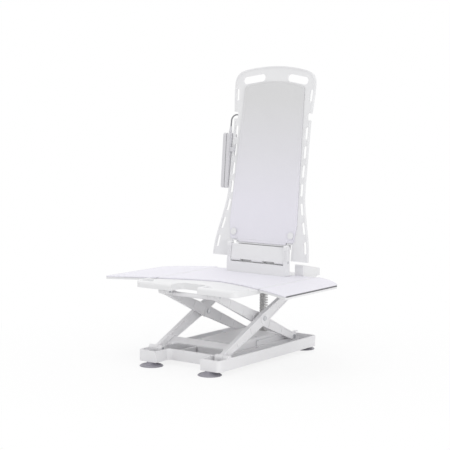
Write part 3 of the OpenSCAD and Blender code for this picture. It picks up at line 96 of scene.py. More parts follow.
# A cover's welded seam: half of its width
SEAM_HALF = 0.0022

# A link of the push chain: pitch, length of its tooth, half height of the tooth at root and tip
LINK_PITCH, TOOTH, TOOTH_ROOT, TOOTH_TIP = 0.0085, 0.017, 0.0027, 0.0022
# Its bevels: front corners, rear corners, ends; and the size of an end beside the middle
FRONT_BEVEL, REAR_BEVEL, END_BEVEL, END_SHARE = 0.0012, 0.0008, 0.0008, 0.95

# The cord's route in the backrest's frame: across, out of the back, up the slope
CORD_ROUTE = np.array([
    (-169, 11, 446), (-169, 11, 460), (-168, 11, 472), (-162, 12, 482), (-152, 14, 487),
    (-140, 19, 485), (-129, 24, 478), (-119, 28, 464), (-112, 28, 446), (-110, 28, 420),
    (-110, 28, 340), (-110, 28, 255), (-110, 28, 180), (-109, 28, 166), (-103, 28, 153),
    (-90, 28, 147), (-77, 28, 153), (-71, 28, 166), (-70, 28, 180), (-70, 28, 255),
    (-70, 28, 330), (-69, 28, 344), (-63, 28, 357), (-50, 28, 363), (-37, 28, 357),
    (-31, 28, 344), (-30, 28, 330), (-30, 28, 255), (-30, 28, 180), (-30, 28, 128),
]) / 1000

# Distances from a cover's edge at which its sheet has a row of points
NEAR_EDGE = np.array([0.0, 0.2, 0.6, 1.1, 1.7, 3.2, 4.8, 5.9, 7.0, 8.1, 9.2, 12.0]) / 1000


def colour(label, default):
    """A colour that a user may change."""
    return FloatVectorProperty(name=label, description=f"{label} of the finish", default=default,
                               subtype="COLOR", size=3, min=0, max=1)


def length(label, text, default):
    """A length that a user may change."""
    return FloatProperty(name=label, description=text, default=default, unit="LENGTH", precision=4)


def brightness(label, text, default):
    """A light's strength or power that a user may change."""
    return FloatProperty(name=label, description=text, default=default, min=0)


class LiftColours(bpy.types.PropertyGroup):
    """Base colours of the lift's finishes."""

    white: colour("White shell", (0.81, 0.81, 0.82))
    grey: colour("Base and arms", (0.83, 0.825, 0.84))
    pad: colour("Cover", (0.79, 0.777, 0.84))
    # Painted shade: the darker, greyer colour that the back cover's head is blended to, as if in
    # shade
    painted_head_shade: colour("Cover's head", (0.68, 0.68, 0.685))
    rim: colour("Cover edge", (0.05, 0.05, 0.055))
    chain: colour("Chain", (0.58, 0.575, 0.57))
    glide: colour("Glides and spacers", (0.60, 0.60, 0.61))
    cup: colour("Suction cup", (0.29, 0.28, 0.32))
    steel: colour("Steel", (0.62, 0.63, 0.65))
    rubber: colour("Dark rubber", (0.035, 0.035, 0.04))
    cord: colour("Cord", (0.22, 0.22, 0.23))
    motor: colour("Motor", (0.74, 0.74, 0.75))
    handset: colour("Handset", (0.66, 0.655, 0.68))
    key: colour("Key", (0.30, 0.31, 0.34))
    stop: colour("Stop key", (0.45, 0.03, 0.03))


class LiftSizes(bpy.types.PropertyGroup):
    """Sizes of the pieces that this file makes."""

    edge: length("Cover edge", "Radius of a cover's rounded edge", 0.0017)
    welt: length("Welt inset", "Distance of a cover's welded seam from its edge", 0.007)
    welt_depth: length("Welt depth", "Depth of a cover's welded seam", 0.0007)
    cord: length("Cord", "Diameter of the handset's cord", 0.005)
    link_gap: length("Link gap", "Gap between two links of the push chain", 0.0007)
    cord_sides: IntProperty(name="Cord sides", description="Sides of the cord's section",
                            default=16, min=8)


class LiftStudio(bpy.types.PropertyGroup):
    """Camera and light of the studio."""

    eye: FloatVectorProperty(name="Camera", description="Place of the camera",
                             default=(2.478, -3.536, 0.872), unit="LENGTH")
    aim: FloatVectorProperty(name="Aim", description="Point that the camera looks at",
                             default=(-0.06907, 0.060, 0.42938), unit="LENGTH")
    roll: FloatProperty(name="Roll", description="Turn of the camera about its view",
                        default=math.radians(0.62), unit="ROTATION")
    lens: FloatProperty(name="Lens", description="Focal length in millimetres",
                        default=105.87, min=1)
    sky: brightness("Sky", "Strength of the light from all round", 0.85)
    key: brightness("Key light", "Power of the large front light in watts", 4)
    top: brightness("Top light", "Power of the light overhead in watts", 30)
    low: brightness("Low light", "Power of the low side light in watts", 26)


class Socket:
    """A node's output; arithmetic on it adds Math nodes to the graph that it belongs to."""

    def __init__(self, graph, out):
        self.graph, self.out = graph, out

    def _math(self, operation, first, second):
        return self.graph.node("ShaderNodeMath", {"operation": operation}, {0: first, 1: second})

    def __add__(self, other):
        return self._math("ADD", self, other)

    def __sub__(self, other):
        return self._math("SUBTRACT", self, other)

    def __rsub__(self, other):
        return self._math("SUBTRACT", other, self)

    def __mul__(self, other):
        return self._math("MULTIPLY", self, other)

    def __pow__(self, other):
        return self._math("POWER", self, other)

    __radd__ = __add__
    __rmul__ = __mul__


class Graph:
    """A tree of shader nodes."""

    def __init__(self, tree):
        self.tree = tree

    def node(self, kind, options=None, inputs=None, out=0):
        """Adds a node: its options first, then the values or links of its sockets."""
        made = self.tree.nodes.new(kind)
        for label, value in (options or {}).items():
            if label == "stops":
                for stop, (position, level) in zip(made.color_ramp.elements, value):
                    stop.position, stop.color = position, (level, level, level, 1)
            else:
                setattr(made, label, value)
        for label, value in (inputs or {}).items():
            self.feed(made.inputs[label], value)
        return Socket(self, made.outputs[out])

    def feed(self, socket, value):
        """Links a Socket, or sets a plain value."""
        if isinstance(value, Socket):
            self.tree.links.new(value.out, socket)
        else:
            socket.default_value = value

    def shown_rays(self):
        """1 for rays from the camera and for those that metal and glass send on."""
        kinds = ("Is Camera Ray", "Is Glossy Ray", "Is Transmission Ray")
        camera, glossy, through = (self.node("ShaderNodeLightPath", out=kind) for kind in kinds)
        clamped = {"operation": "ADD", "use_clamp": True}
        return self.node("ShaderNodeMath", clamped, {0: camera + glossy, 1: through})

    def output(self, label, share, plain, shown):
        """Mixes two shaders by a share into an output node's surface."""
        mixed = self.node("ShaderNodeMixShader", inputs={0: share, 1: plain, 2: shown})
        self.feed(self.tree.nodes[label].inputs["Surface"], mixed)


class Finish(Graph):
    """A node-based material on a Principled shader; constants go straight to its sockets."""

    def __init__(self, name, **constants):
        self.material = bpy.data.materials.new(name)
        self.material.use_nodes = True
        super().__init__(self.material.node_tree)
        self.shader = self.tree.nodes["Principled BSDF"]
        for label, value in constants.items():
            self.shader.inputs[label.replace("_", " ")].default_value = value
        self.place = self.node("ShaderNodeTexCoord", out="Object")

    def noise(self, scale, detail=2.0, stretch=(1, 1, 1)):
        """Smooth noise from 0 to 1 over the object's own coordinates, in metres."""
        place = self.node("ShaderNodeMapping", inputs={"Vector": self.place, "Scale": stretch})
        values = {"Vector": place, "Scale": scale, "Detail": detail}
        return self.node("ShaderNodeTexNoise", inputs=values)

    def ramp(self, value, low, high):
        """0 below low, 1 above high, linear between."""
        stops = [(low, 0.0), (high, 1.0)]
        return self.node("ShaderNodeValToRGB", {"stops": stops}, {"Fac": value})

    def blend(self, share, first, second):
        """Mixes two colours by a share."""
        values = {0: share, 6: self.rgba(first), 7: self.rgba(second)}
        return self.node("ShaderNodeMix", {"data_type": "RGBA"}, values, out=2)

    @staticmethod
    def rgba(value):
        """A colour with its alpha, or a Socket as it is."""
        return value if isinstance(value, Socket) else (*value, 1.0)

    def bump(self, height, depth):
        """Normal from a height field of that depth in metres."""
        return self.node("ShaderNodeBump", inputs={"Height": height, "Distance": depth})

    def surface(self, **links):
        """Feeds what varies over the surface into the shader."""
        for label, value in links.items():
            self.feed(self.shader.inputs[label.replace("_", " ")], value)
        return self.material


def shade(base, factor):
    """A colour made darker or lighter by a factor."""
    return tuple(min(1.0, channel * factor) for channel in base)


def moulded_plastic(name, base, grain, gloss):
    """Moulded plastic: faint flow marks, a fine spark-eroded grain and rubbed patches."""
    finish = Finish(name, IOR=1.47)
    flow = finish.noise(scale=7.0, detail=3.0, stretch=(1, 1, 2.4))
    speck = finish.noise(scale=900.0, detail=1.0)
    rubbed = finish.ramp(finish.noise(scale=16.0, detail=4.0), low=0.45, high=0.75)
    grit = speck * 0.6 + finish.noise(scale=2200.0, detail=0.0) * 0.4
    tint = finish.blend(flow, shade(base, 0.965), shade(base, 1.03))
    return finish.surface(
        Base_Color=finish.blend(rubbed * 0.25, tint, shade(base, 1.05)),
        Roughness=gloss + 0.10 * flow - 0.08 * rubbed + 0.05 * speck,
        Normal=finish.bump(grit, depth=grain))


def washed_foam(name, base, painted_head_shade, rim):
    """Skin of a washable foam cover: closed pores and a faint mottle.

    It is painted darker and greyer towards the back's head as painted shade, and is dark on the
    flaps' outer sides.
    """
    finish = Finish(name, IOR=1.42, Sheen_Weight=0.15, Sheen_Roughness=0.5)
    cells = {"Vector": finish.place, "Scale": 520.0}
    pores = finish.node("ShaderNodeTexVoronoi", {"feature": "F1"}, cells)
    pits = finish.ramp(pores, low=0.15, high=0.55)
    mottle = finish.noise(scale=11.0, detail=3.0)
    ripple = finish.noise(scale=38.0, detail=2.0)
    across, height = (finish.node("ShaderNodeSeparateXYZ", inputs={0: finish.place}, out=axis)
                      for axis in "XZ")
    # Painted shade: from 0.50 m to 0.85 m up, the cover turns to the darker head colour
    plain = finish.blend(finish.ramp(height, low=0.50, high=0.85), base, painted_head_shade)
    tint = finish.blend(mottle * 0.06, plain, (1.0, 1.0, 1.0))
    # Painted shade: the pits of the pores are coloured slightly darker, as shade in the recesses
    skin = finish.blend((1 - pits) * 0.12, tint, shade(base, 0.86))
    side = finish.ramp((across * across) ** 0.5, low=FLAP_TIP - 0.0006, high=FLAP_TIP - 0.0004)
    return finish.surface(
        Base_Color=finish.blend(side, skin, rim),
        Roughness=0.56 + 0.12 * mottle - 0.06 * pits,
        Normal=finish.bump(pits * 0.35 + ripple, depth=0.00035))


def cup_rubber(name, base):
    """Soft rubber of the suction cups: dull, slightly see-through, with dust in its pores."""
    finish = Finish(name, IOR=1.5, Transmission_Weight=0.12, Coat_Roughness=0.35)
    dust = finish.ramp(finish.noise(scale=60.0, detail=4.0), low=0.5, high=0.8)
    return finish.surface(
        Base_Color=finish.blend(dust * 0.3, base, shade(base, 1.8)),
        Roughness=0.42 + 0.25 * dust,
        Coat_Weight=0.25 - 0.2 * dust,
        Normal=finish.bump(finish.noise(scale=700.0, detail=2.0), depth=0.00004))


def dull_rubber(name, base):
    """Matt dark rubber with a fine sanded grain."""
    finish = Finish(name, IOR=1.5)
    wear = finish.noise(scale=45.0, detail=3.0)
    return finish.surface(
        Base_Color=finish.blend(wear, shade(base, 0.8), shade(base, 1.5)),
        Roughness=0.62 + 0.18 * wear,
        Normal=finish.bump(finish.noise(scale=1500.0, detail=1.0), depth=0.00003))


def drawn_metal(name, base, along, gloss):
    """Metal with fine draw lines along one axis and slight stains."""
    finish = Finish(name, Metallic=1.0)
    stretch = tuple(0.02 if axis == along else 1.0 for axis in "xyz")
    lines = finish.noise(scale=1400.0, detail=2.0, stretch=stretch)
    stain = finish.noise(scale=30.0, detail=3.0)
    return finish.surface(
        Base_Color=finish.blend(stain, shade(base, 0.88), shade(base, 1.06)),
        Roughness=gloss + 0.14 * lines + 0.08 * stain,
        Normal=finish.bump(lines, depth=0.00002))


def motor_paint(name, base):
    """Stove enamel with an orange-peel skin."""
    finish = Finish(name, IOR=1.5)
    peel = finish.noise(scale=420.0, detail=2.0)
    cloud = finish.noise(scale=25.0, detail=3.0)
    return finish.surface(
        Base_Color=finish.blend(cloud, shade(base, 0.8), shade(base, 1.3)),
        Roughness=0.34 + 0.16 * peel,
        Normal=finish.bump(peel, depth=0.00005))


def paint(material, *names):
    """Gives CAD nodes a finish."""
    for name in names:
        mesh = NODES[name].data
        mesh.materials.clear()
        mesh.materials.append(material)


def finish_of(name):
    """The finish that a CAD node was given."""
    return NODES[name].data.materials[0]


def to_world(across, out, up):
    """Points of the backrest's frame in the part's: out and up are turned by the tilt."""
    out, up = out + HINGE_TO_FOOT[0], up + HINGE_TO_FOOT[1]
    cosine, sine = math.cos(BACK_TILT), math.sin(BACK_TILT)
    rear = HINGE[1] + out * cosine + up * sine
    height = HINGE[2] - out * sine + up * cosine
    return np.stack([across, rear, height], axis=-1)


def dish(across):
    """Front of the backrest's dished skin: the arc BACK_DISH - R + sqrt(R^2 - across^2)."""
    return BACK_DISH - DISH_RADIUS + np.sqrt(DISH_RADIUS ** 2 - across ** 2)


def new_piece(name, points, faces, material, smooth=True):
    """A mesh object at the origin from arrays of points and faces."""
    mesh = bpy.data.meshes.new(name)
    corners = [list(map(int, face)) for face in faces]
    mesh.from_pydata(np.asarray(points, float).reshape(-1, 3), [], corners)
    mesh.polygons.foreach_set("use_smooth", np.full(len(mesh.polygons), smooth))
    mesh.materials.append(material)
    mesh.update()
    piece = bpy.data.objects.new(name, mesh)
    bpy.context.scene.collection.objects.link(piece)
    return piece


def strip_faces(rows, columns):
    """Quads of a grid of rows of closed rings, each ring of that many columns."""
    row, column = np.meshgrid(np.arange(rows - 1), np.arange(columns), indexing="ij")
    after = (column + 1) % columns
    here, there = row * columns, (row + 1) * columns
    corners = [here + column, here + after, there + after, there + column]
    return np.stack(corners, axis=-1).reshape(-1, 4)


def fan_faces(ring, pole, columns):
    """Triangles between a ring, given by its first point's index, and one pole."""
    column = np.arange(columns)
    return np.stack([ring + column, ring + (column + 1) % columns, np.full(columns, pole)], axis=-1)


def capped_faces(rows, columns):
    """Faces of a row of rings that close on two poles, which follow the rings' points."""
    last = rows * columns
    return [*strip_faces(rows, columns), *fan_faces(0, last, columns)[:, ::-1],
            *fan_faces(last - columns, last + 1, columns)]


def even_outline(corners, count):
    """A closed outline resampled to count points at even steps of its length."""
    closed = np.vstack([corners, corners[:1]])
    steps = np.concatenate([[0], np.cumsum(np.linalg.norm(np.diff(closed, axis=0), axis=1))])
    at = np.linspace(0, steps[-1], count, endpoint=False)
    return np.stack([np.interp(at, steps, closed[:, axis]) for axis in (0, 1)], axis=-1)


def graded(low, high, count):
    """Rows from low to high: close together at both edges, count even rows between."""
    low, high = np.atleast_1d(low), np.atleast_1d(high)
    inset = NEAR_EDGE[-1]
    share = np.linspace(0, 1, count + 2)[1:-1, None]
    inner = low + inset + share * (high - low - 2 * inset)
    return np.concatenate([low + NEAR_EDGE[:, None], inner, high - NEAR_EDGE[::-1, None]])


def pad_surface(plan, thickness, sizes, dimples=()):
    """A thin foam cover over a plan of rows and columns of points.

    With d the distance from the edge, its face lies at
    thickness - edge * (1 - sqrt(1 - (1 - d / edge)^2)) within the rounded edge, less
    welt_depth * (1 + cos(pi (d - welt) / SEAM_HALF)) / 2 at the welded seam and
    depth * exp(-(r / radius)^2) at each dimple.
    """
    rows, columns = plan.shape[:2]
    number = np.arange(rows * columns).reshape(rows, columns)
    ring = np.concatenate([number[0, :-1], number[:-1, -1], number[-1, :0:-1], number[:0:-1, 0]])
    flat = plan.reshape(-1, 2)
    border = even_outline(flat[ring], count=1600)
    far = np.array([np.linalg.norm(border - point, axis=1).min() for point in flat])
    near = np.clip(far / sizes.edge, 0, 1)
    height = thickness - sizes.edge * (1 - np.sqrt(1 - (1 - near) ** 2))
    seam = np.clip(np.abs(far - sizes.welt) / SEAM_HALF, 0, 1)
    height -= sizes.welt_depth * (0.5 + 0.5 * np.cos(math.pi * seam))
    for x, y, radius, depth in dimples:
        height -= depth * np.exp(-(np.linalg.norm(flat - (x, y), axis=1) / radius) ** 2)
    top, bottom = (np.column_stack([flat, rise]) for rise in (height, np.zeros(len(flat))))
    corners = [number[:-1, :-1], number[:-1, 1:], number[1:, 1:], number[1:, :-1]]
    face = np.stack(corners, axis=-1).reshape(-1, 4)
    after = np.roll(ring, -1)
    wall = np.stack([ring + len(flat), after + len(flat), after, ring], axis=-1)
    return np.vstack([top, bottom]), np.vstack([face, face[:, ::-1] + len(flat), wall])


def outward(piece):
    """Turns a closed mesh's faces outwards by the sign of its volume."""
    mesh = piece.data
    mesh.calc_loop_triangles()
    points = np.array([v.co for v in mesh.vertices])
    corners = points[np.array([t.vertices for t in mesh.loop_triangles])]
    volume = np.einsum("ij,ij->i", corners[:, 0], np.cross(corners[:, 1], corners[:, 2])).sum()
    if volume < 0:
        mesh.flip_normals()
    return piece


def front_sweep(across):
    """Front edge of the seat's covers: middle - reach * (|across| / FLAP_TIP)^power."""
    return SWEEP_MIDDLE - SWEEP_REACH * (np.abs(across) / FLAP_TIP) ** SWEEP_POWER


def quadratic(first, control, last, t):
    """Quadratic Bezier curve: first (1 - t)^2 + 2 control t (1 - t) + last t^2."""
    return first * (1 - t) ** 2 + control * 2 * t * (1 - t) + last * t ** 2


def sheet(across, front, rear, count):
    """Plan of a cover with a front and a rear for each place across, and count even rows."""
    along = graded(front, rear, count)
    return np.stack([np.broadcast_to(across, along.shape), along], axis=-1)


def seat_sheet():
    """Plan of the seat's cover: swept front, straight sides, cut out round the hinge bracket."""
    even = graded(-SEAT_HALF, SEAT_HALF, count=44).ravel()
    inside = BRACKET_HALF - BRACKET_SIDE
    across = np.sort(np.append(even, [-BRACKET_HALF, -inside, inside, BRACKET_HALF]))
    cut_out = np.abs(across) < BRACKET_HALF - BRACKET_SIDE / 2
    rear = np.where(cut_out, BRACKET_FRONT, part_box("seat_cover")[1][1])
    return sheet(across, front_sweep(across), rear, count=36)


def flap_sheet():
    """Plan of the right flap's cover: swept front, round corner, straight side, curved rear."""
    across = graded(FLAP_IN, FLAP_TIP, count=26).ravel()
    turn = 1 - np.sqrt(1 - np.clip((across - FLAP_TIP + FLAP_CORNER) / FLAP_CORNER, 0, 1))
    inner, tip = front_sweep(FLAP_TIP - FLAP_CORNER), front_sweep(FLAP_TIP)
    rounded = quadratic(inner, tip, tip + FLAP_CORNER, turn)
    front = np.where(turn > 0, rounded, front_sweep(across))
    t = np.linspace(0, 1, 200)
    rear_across, rear_along = (quadratic(*points, t)[::-1] for points in FLAP_REAR)
    return sheet(across, front, np.interp(across, rear_across, rear_along), count=44)


def back_sheet():
    """Plan of the back cover: foot raised over the hinge posts, narrowing sides, arched head."""
    halves, levels = BACK_SIDE.T
    level = graded(levels[0], levels[-1], count=84).ravel()
    half = np.interp(level, levels, halves)
    across = graded(-half, half, count=40).T
    foot = np.where(np.abs(across) < BACK_FOOT_HALF, BACK_FOOT, levels[0])
    head = BACK_HEAD - HEAD_FALL * (across / halves[-1]) ** 2
    share = ((level - levels[0]) / (levels[-1] - levels[0]))[:, None]
    return np.stack([across, foot + share * (head - foot)], axis=-1)


def smooth_path(route, steps):
    """Catmull-Rom curve through the route's points, with that many steps between two of them."""
    ends = np.vstack([route[:1], route, route[-1:]])
    before, here, there, beyond = (ends[i:len(ends) - 3 + i][:, None] for i in range(4))
    t = np.linspace(0, 1, steps, endpoint=False)[None, :, None]
    curve = 0.5 * (2 * here + (there - before) * t
                   + (2 * before - 5 * here + 4 * there - beyond) * t ** 2
                   + (3 * here - before - 3 * there + beyond) * t ** 3)
    return np.vstack([curve.reshape(-1, 3), route[-1:]])


def tube(path, radius, sides):
    """A round section carried along a path: ring i is path(i) + radius * (b cos a + m sin a).

    The section's axes b and m are carried from ring to ring with the least turn.
    """
    heading = np.gradient(path, axis=0)
    heading /= np.linalg.norm(heading, axis=1, keepdims=True)
    across = [np.cross(heading[0], (0.0, 1.0, 0.0))]
    for direction in heading[1:]:
        across.append(across[-1] - direction * (across[-1] @ direction))
    across = np.array(across)
    across /= np.linalg.norm(across, axis=1, keepdims=True)
    normal = np.cross(across, heading)
    angle = np.linspace(0, 2 * math.pi, sides, endpoint=False)[None, :, None]
    section = across[:, None] * np.cos(angle) + normal[:, None] * np.sin(angle)
    rings = path[:, None] + radius * section
    points = np.vstack([rings.reshape(-1, 3), path[:1], path[-1:]])
    return points, capped_faces(len(path), sides)


def link_profile(pitch, depth, gap):
    """Side view of one chain link (out, up): a bevelled plate with a tapered tooth to the rear."""
    low, high = gap / 2, pitch - gap / 2
    middle, point = pitch / 2, depth + TOOTH
    return np.array([
        (FRONT_BEVEL, low), (depth - REAR_BEVEL, low), (depth, low + REAR_BEVEL),
        (depth, middle - TOOTH_ROOT), (point, middle - TOOTH_TIP),
        (point, middle + TOOTH_TIP), (depth, middle + TOOTH_ROOT),
        (depth, high - REAR_BEVEL), (depth - REAR_BEVEL, high), (FRONT_BEVEL, high),
        (0.0, high - FRONT_BEVEL), (0.0, low + FRONT_BEVEL)])


def chain_links(low, high, gap):
    """A pile of links between two corners of a box.

    Each profile is carried across in four rings, of which the outer two are drawn in.
    """
    half = (high[0] - low[0]) / 2
    depth = high[1] - low[1] - TOOTH
    count = int((high[2] - low[2]) / LINK_PITCH)
    step = (high[2] - low[2]) / count
    profile = link_profile(step, depth, gap)
    middle = profile.mean(axis=0)
    inner = middle + (profile - middle) * END_SHARE
    rings = np.stack([inner, profile, profile, inner])
    across = np.array([-half, END_BEVEL - half, half - END_BEVEL, half])
    size = len(profile)
    places = np.repeat(across[:, None], size, axis=1)[..., None]
    one = np.concatenate([places, rings], axis=-1).reshape(-1, 3)
    poles = np.array([[across[0], *middle], [across[-1], *middle]])
    one = np.vstack([one, poles]) + (0, low[1], low[2])
    faces = capped_faces(len(rings), size)
    raised = one[None] + np.arange(count)[:, None, None] * np.array([0, 0, step])
    every = [face + i * len(one) for i in range(count) for face in faces]
    return raised.reshape(-1, 3), every


def settings():
    """The scene's own properties."""
    scene = bpy.context.scene
    return scene.lift_colours, scene.lift_sizes, scene.lift_studio


class LIFT_OT_shells(bpy.types.Operator):
    """Finish the moulded shells of the seat, back, base, linkage, chain and handset"""

    bl_idname = "lift.shells"
    bl_label = "Moulded shells"

    def execute(self, context):
        colours, _, _ = settings()
        white = moulded_plastic("white_shell", colours.white, grain=0.00002, gloss=0.34)
        grey = moulded_plastic("grey_shell", colours.grey, grain=0.00003, gloss=0.42)
        pale = moulded_plastic("glide_plastic", colours.glide, grain=0.00003, gloss=0.38)
        chain = moulded_plastic("chain_plastic", colours.chain, grain=0.00003, gloss=0.38)
        handset = moulded_plastic("handset_plastic", colours.handset, grain=0.00002, gloss=0.36)
        paint(white, "seat_shell", "hinge_bracket", "rear_rail_left", "rear_rail_right",
              "flap_left", "flap_right", "back_panel", "cover_buttons", "back_carrier",
              "cord_clips")
        paint(handset, "handset_back_shell", "handset_front_shell", "handset_hook", "handset_gland")
        paint(grey, "base_frame", "drive_cover", "chain_guide", "outer_arm_left", "outer_arm_right",
              "outer_cross_plate", "inner_arm_left", "inner_arm_right", "inner_cross_tube",
              "lower_guide_rails", "upper_guide_rails")
        paint(chain, "stowed_chain", "chain_head")
        paint(pale, "centre_spacers", "upper_glide_blocks", "lower_glide_blocks")
        return {"FINISHED"}


class LIFT_OT_metals(bpy.types.Operator):
    """Finish the pins, rivets, screws and the drive"""

    bl_idname = "lift.metals"
    bl_label = "Metal pieces"

    def execute(self, context):
        colours, _, _ = settings()
        steel = colours.steel
        pin = drawn_metal("pin_steel", steel, along="x", gloss=0.24)
        screw = drawn_metal("screw_steel", steel, along="z", gloss=0.30)
        hinge = drawn_metal("hinge_steel", shade(steel, 1.12), along="y", gloss=0.32)
        paint(pin, "front_pivot_pins", "centre_pivot_pins", "upper_glide_pins", "lower_glide_pins",
              "seat_pivot_pins", "hinge_pins", "drive_sprocket")
        paint(screw, "cup_studs", "lower_rail_rivets", "cover_screws", "upper_rail_rivets",
              "seat_screws", "carrier_screws")
        paint(hinge, "flap_hinge_pins")
        paint(motor_paint("motor_paint", colours.motor), "gearmotor")
        return {"FINISHED"}


class LIFT_OT_rubbers(bpy.types.Operator):
    """Finish the suction cups, seals and keys and the pieces inside the handset"""

    bl_idname = "lift.rubbers"
    bl_label = "Rubber pieces and keys"

    def execute(self, context):
        colours, _, _ = settings()
        key = moulded_plastic("key_plastic", colours.key, grain=0.00003, gloss=0.40)
        stop = moulded_plastic("stop_plastic", colours.stop, grain=0.00003, gloss=0.40)
        board = moulded_plastic("board_lacquer", (0.02, 0.14, 0.06), grain=0.00002, gloss=0.30)
        sleeve = moulded_plastic("cell_sleeve", (0.03, 0.08, 0.22), grain=0.00002, gloss=0.28)
        paint(cup_rubber("cup_rubber", colours.cup), "suction_cups")
        paint(dull_rubber("dark_rubber", colours.rubber), "handset_gasket", "cord_socket")
        paint(key, "key_up", "key_down")
        paint(stop, "key_stop")
        paint(board, "handset_board")
        paint(sleeve, "handset_battery")
        return {"FINISHED"}


class LIFT_OT_covers(bpy.types.Operator):
    """Lay the soft covers on the seat, its flaps and the back"""

    bl_idname = "lift.covers"
    bl_label = "Soft covers"

    def execute(self, context):
        colours, sizes, _ = settings()
        foam = washed_foam("cover_foam", colours.pad, colours.painted_head_shade, colours.rim)
        for name, plan, body in (("seat_cover", seat_sheet(), "seat"),
                                 ("flap_cover_right", flap_sheet(), "right_flap"),
                                 ("flap_cover_left", flap_sheet() * (-1, 1), "left_flap")):
            low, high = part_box(name)
            points, faces = pad_surface(plan, high[2] - low[2], sizes)
            points[:, 2] += low[2]
            self.lay(name, points, faces, foam, body)
        dimples = [(across, BUTTON_UP, DIMPLE_RADIUS, DIMPLE_DEPTH)
                   for across in (-BUTTON_ACROSS, BUTTON_ACROSS)]
        points, faces = pad_surface(back_sheet(), BACK_THICK, sizes, dimples)
        across, up, rise = points.T
        points = to_world(across, dish(across) - PANEL_GAP - rise, up)
        self.lay("back_cover", points, faces, foam, "backrest")
        return {"FINISHED"}

    @staticmethod
    def lay(node, points, faces, material, body):
        """One cover in the place of its plain solid."""
        piece = outward(new_piece(f"{node}_foam", points, faces, material))
        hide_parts(node)
        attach(piece, body)


class LIFT_OT_chain(bpy.types.Operator):
    """Build the raised run of the push chain as a fixed pile of links; on the lift the chain grows
    as the seat rises, but this piece does not
    """

    bl_idname = "lift.chain"
    bl_label = "Push chain"

    def execute(self, context):
        _, sizes, _ = settings()
        low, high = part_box("lift_chain")
        points, faces = chain_links(low, high, sizes.link_gap)
        plastic = finish_of("chain_head")
        piece = outward(new_piece("lift_chain_links", points, faces, plastic, smooth=False))
        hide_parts("lift_chain")
        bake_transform(piece)
        return {"FINISHED"}


class LIFT_OT_cord(bpy.types.Operator):
    """Lead the handset's cord from its gland round the rim to the socket behind the back"""

    bl_idname = "lift.cord"
    bl_label = "Cord"

    def execute(self, context):
        colours, sizes, _ = settings()
        path = to_world(*smooth_path(CORD_ROUTE, steps=8).T)
        points, faces = tube(path, sizes.cord / 2, sizes.cord_sides)
        sheath = dull_rubber("cord_sheath", colours.cord)
        piece = outward(new_piece("handset_cord_lead", points, faces, sheath))
        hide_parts("handset_cord")
        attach(piece, "backrest")
        return {"FINISHED"}


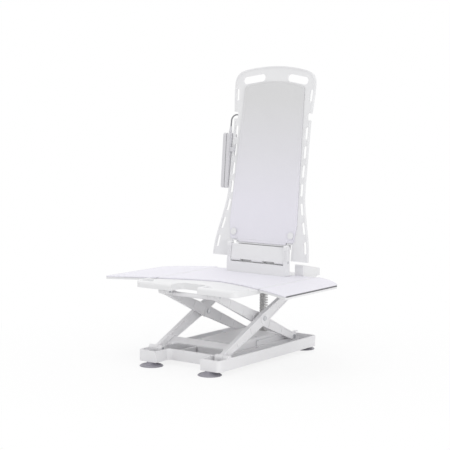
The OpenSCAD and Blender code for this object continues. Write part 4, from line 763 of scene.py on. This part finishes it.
class LIFT_OT_studio(bpy.types.Operator):
    """Set up the floor, the soft lights and the camera"""

    bl_idname = "lift.studio"
    bl_label = "Studio"

    def execute(self, context):
        _, _, studio = settings()
        self.floor()
        self.sky(context.scene, studio.sky)
        aim = Vector(studio.aim)
        scissor = Vector((0, 0, 0.2))
        self.lamp("key_light", (1.6, -2.6, 2.9), aim, size=2.2, power=studio.key)
        self.lamp("top_light", (-0.9, 0.6, 3.4), aim, size=2.6, power=studio.top)
        self.lamp("low_light", (3.3, -1.6, 0.45), scissor, size=1.7, power=studio.low)
        self.camera(context.scene, studio, aim)
        context.scene.view_settings.view_transform = "Standard"
        return {"FINISHED"}

    @staticmethod
    def floor():
        """A wide pale sheet that shows white to the camera and keeps the object's shadow."""
        half, height = 30.0, -0.0005
        corners = [(x * half, y * half, height) for x, y in ((-1, -1), (1, -1), (1, 1), (-1, 1))]
        finish = Finish("floor_paper", Roughness=0.9, Specular_IOR_Level=0.1)
        mottle = finish.noise(scale=3.0)
        finish.surface(Base_Color=finish.blend(mottle, (0.86, 0.86, 0.86), (0.88, 0.88, 0.88)))
        glow = finish.node("ShaderNodeEmission", inputs={"Color": (1, 1, 1, 1), "Strength": 1.0})
        reach = finish.node("ShaderNodeVectorMath", {"operation": "LENGTH"}, {0: finish.place},
                            out="Value")
        white_share = 0.84 + 0.16 * finish.ramp(reach, low=0.35, high=1.0)
        share = finish.shown_rays() * white_share
        finish.output("Material Output", share, Socket(finish, finish.shader.outputs[0]), glow)
        new_piece("studio_floor", corners, [(0, 1, 2, 3)], finish.material, smooth=False)

    @staticmethod
    def sky(scene, strength):
        """Even light from all round that shows as white behind the object."""
        world = bpy.data.worlds.new("studio_sky")
        world.use_nodes = True
        graph = Graph(world.node_tree)
        light = world.node_tree.nodes["Background"]
        light.inputs["Color"].default_value = (1, 1, 1, 1)
        light.inputs["Strength"].default_value = strength
        white = graph.node("ShaderNodeBackground", inputs={"Color": (1, 1, 1, 1)})
        graph.output("World Output", graph.shown_rays(), Socket(graph, light.outputs[0]), white)
        scene.world = world

    @staticmethod
    def lamp(name, place, aim, size, power):
        """A square soft box that faces the aim."""
        lamp = bpy.data.lights.new(name, "AREA")
        lamp.size, lamp.energy = size, power
        lamp_object = bpy.data.objects.new(name, lamp)
        turn = (aim - Vector(place)).to_track_quat("-Z", "Y").to_matrix().to_4x4()
        lamp_object.matrix_world = Matrix.Translation(place) @ turn
        bpy.context.scene.collection.objects.link(lamp_object)

    @staticmethod
    def camera(scene, studio, aim):
        """A long lens at the photograph's place, rolled slightly about its view."""
        lens = bpy.data.cameras.new("studio_camera")
        lens.lens, lens.sensor_width, lens.sensor_fit = studio.lens, 36.0, "HORIZONTAL"
        lens.clip_end = 100
        eye = Vector(studio.eye)
        forward = (aim - eye).normalized()
        right = forward.cross(Vector((0, 0, 1))).normalized()
        up = right.cross(forward)
        cosine, sine = math.cos(studio.roll), math.sin(studio.roll)
        axes = (right * cosine + up * sine, up * cosine - right * sine, -forward)
        camera = bpy.data.objects.new("studio_camera", lens)
        camera.matrix_world = Matrix.Translation(eye) @ Matrix(axes).transposed().to_4x4()
        scene.collection.objects.link(camera)
        scene.camera = camera


class LIFT_PT_panel(bpy.types.Panel):
    """Lists the lift's pieces in the sidebar."""

    bl_label = "Bath lift"
    bl_idname = "LIFT_PT_panel"
    bl_space_type = "VIEW_3D"
    bl_region_type = "UI"
    bl_category = "Bath lift"

    def draw(self, context):
        for operator in PIECES:
            self.layout.operator(operator.bl_idname)
        for group in settings():
            for label in group.__annotations__:
                self.layout.prop(group, label)


PIECES = (LIFT_OT_shells, LIFT_OT_metals, LIFT_OT_rubbers, LIFT_OT_covers, LIFT_OT_chain,
          LIFT_OT_cord, LIFT_OT_studio)
GROUPS = {"lift_colours": LiftColours, "lift_sizes": LiftSizes, "lift_studio": LiftStudio}


def register():
    for kind in (*GROUPS.values(), *PIECES, LIFT_PT_panel):
        bpy.utils.register_class(kind)
    for label, group in GROUPS.items():
        setattr(bpy.types.Scene, label, PointerProperty(type=group))


def unregister():
    for label in GROUPS:
        delattr(bpy.types.Scene, label)
    for kind in reversed((*GROUPS.values(), *PIECES, LIFT_PT_panel)):
        bpy.utils.unregister_class(kind)


def main():
    """Dresses the frame."""
    register()
    for operator in PIECES:
        group, name = operator.bl_idname.split(".")
        getattr(getattr(bpy.ops, group), name)()


if __name__ == "__main__":
    main()
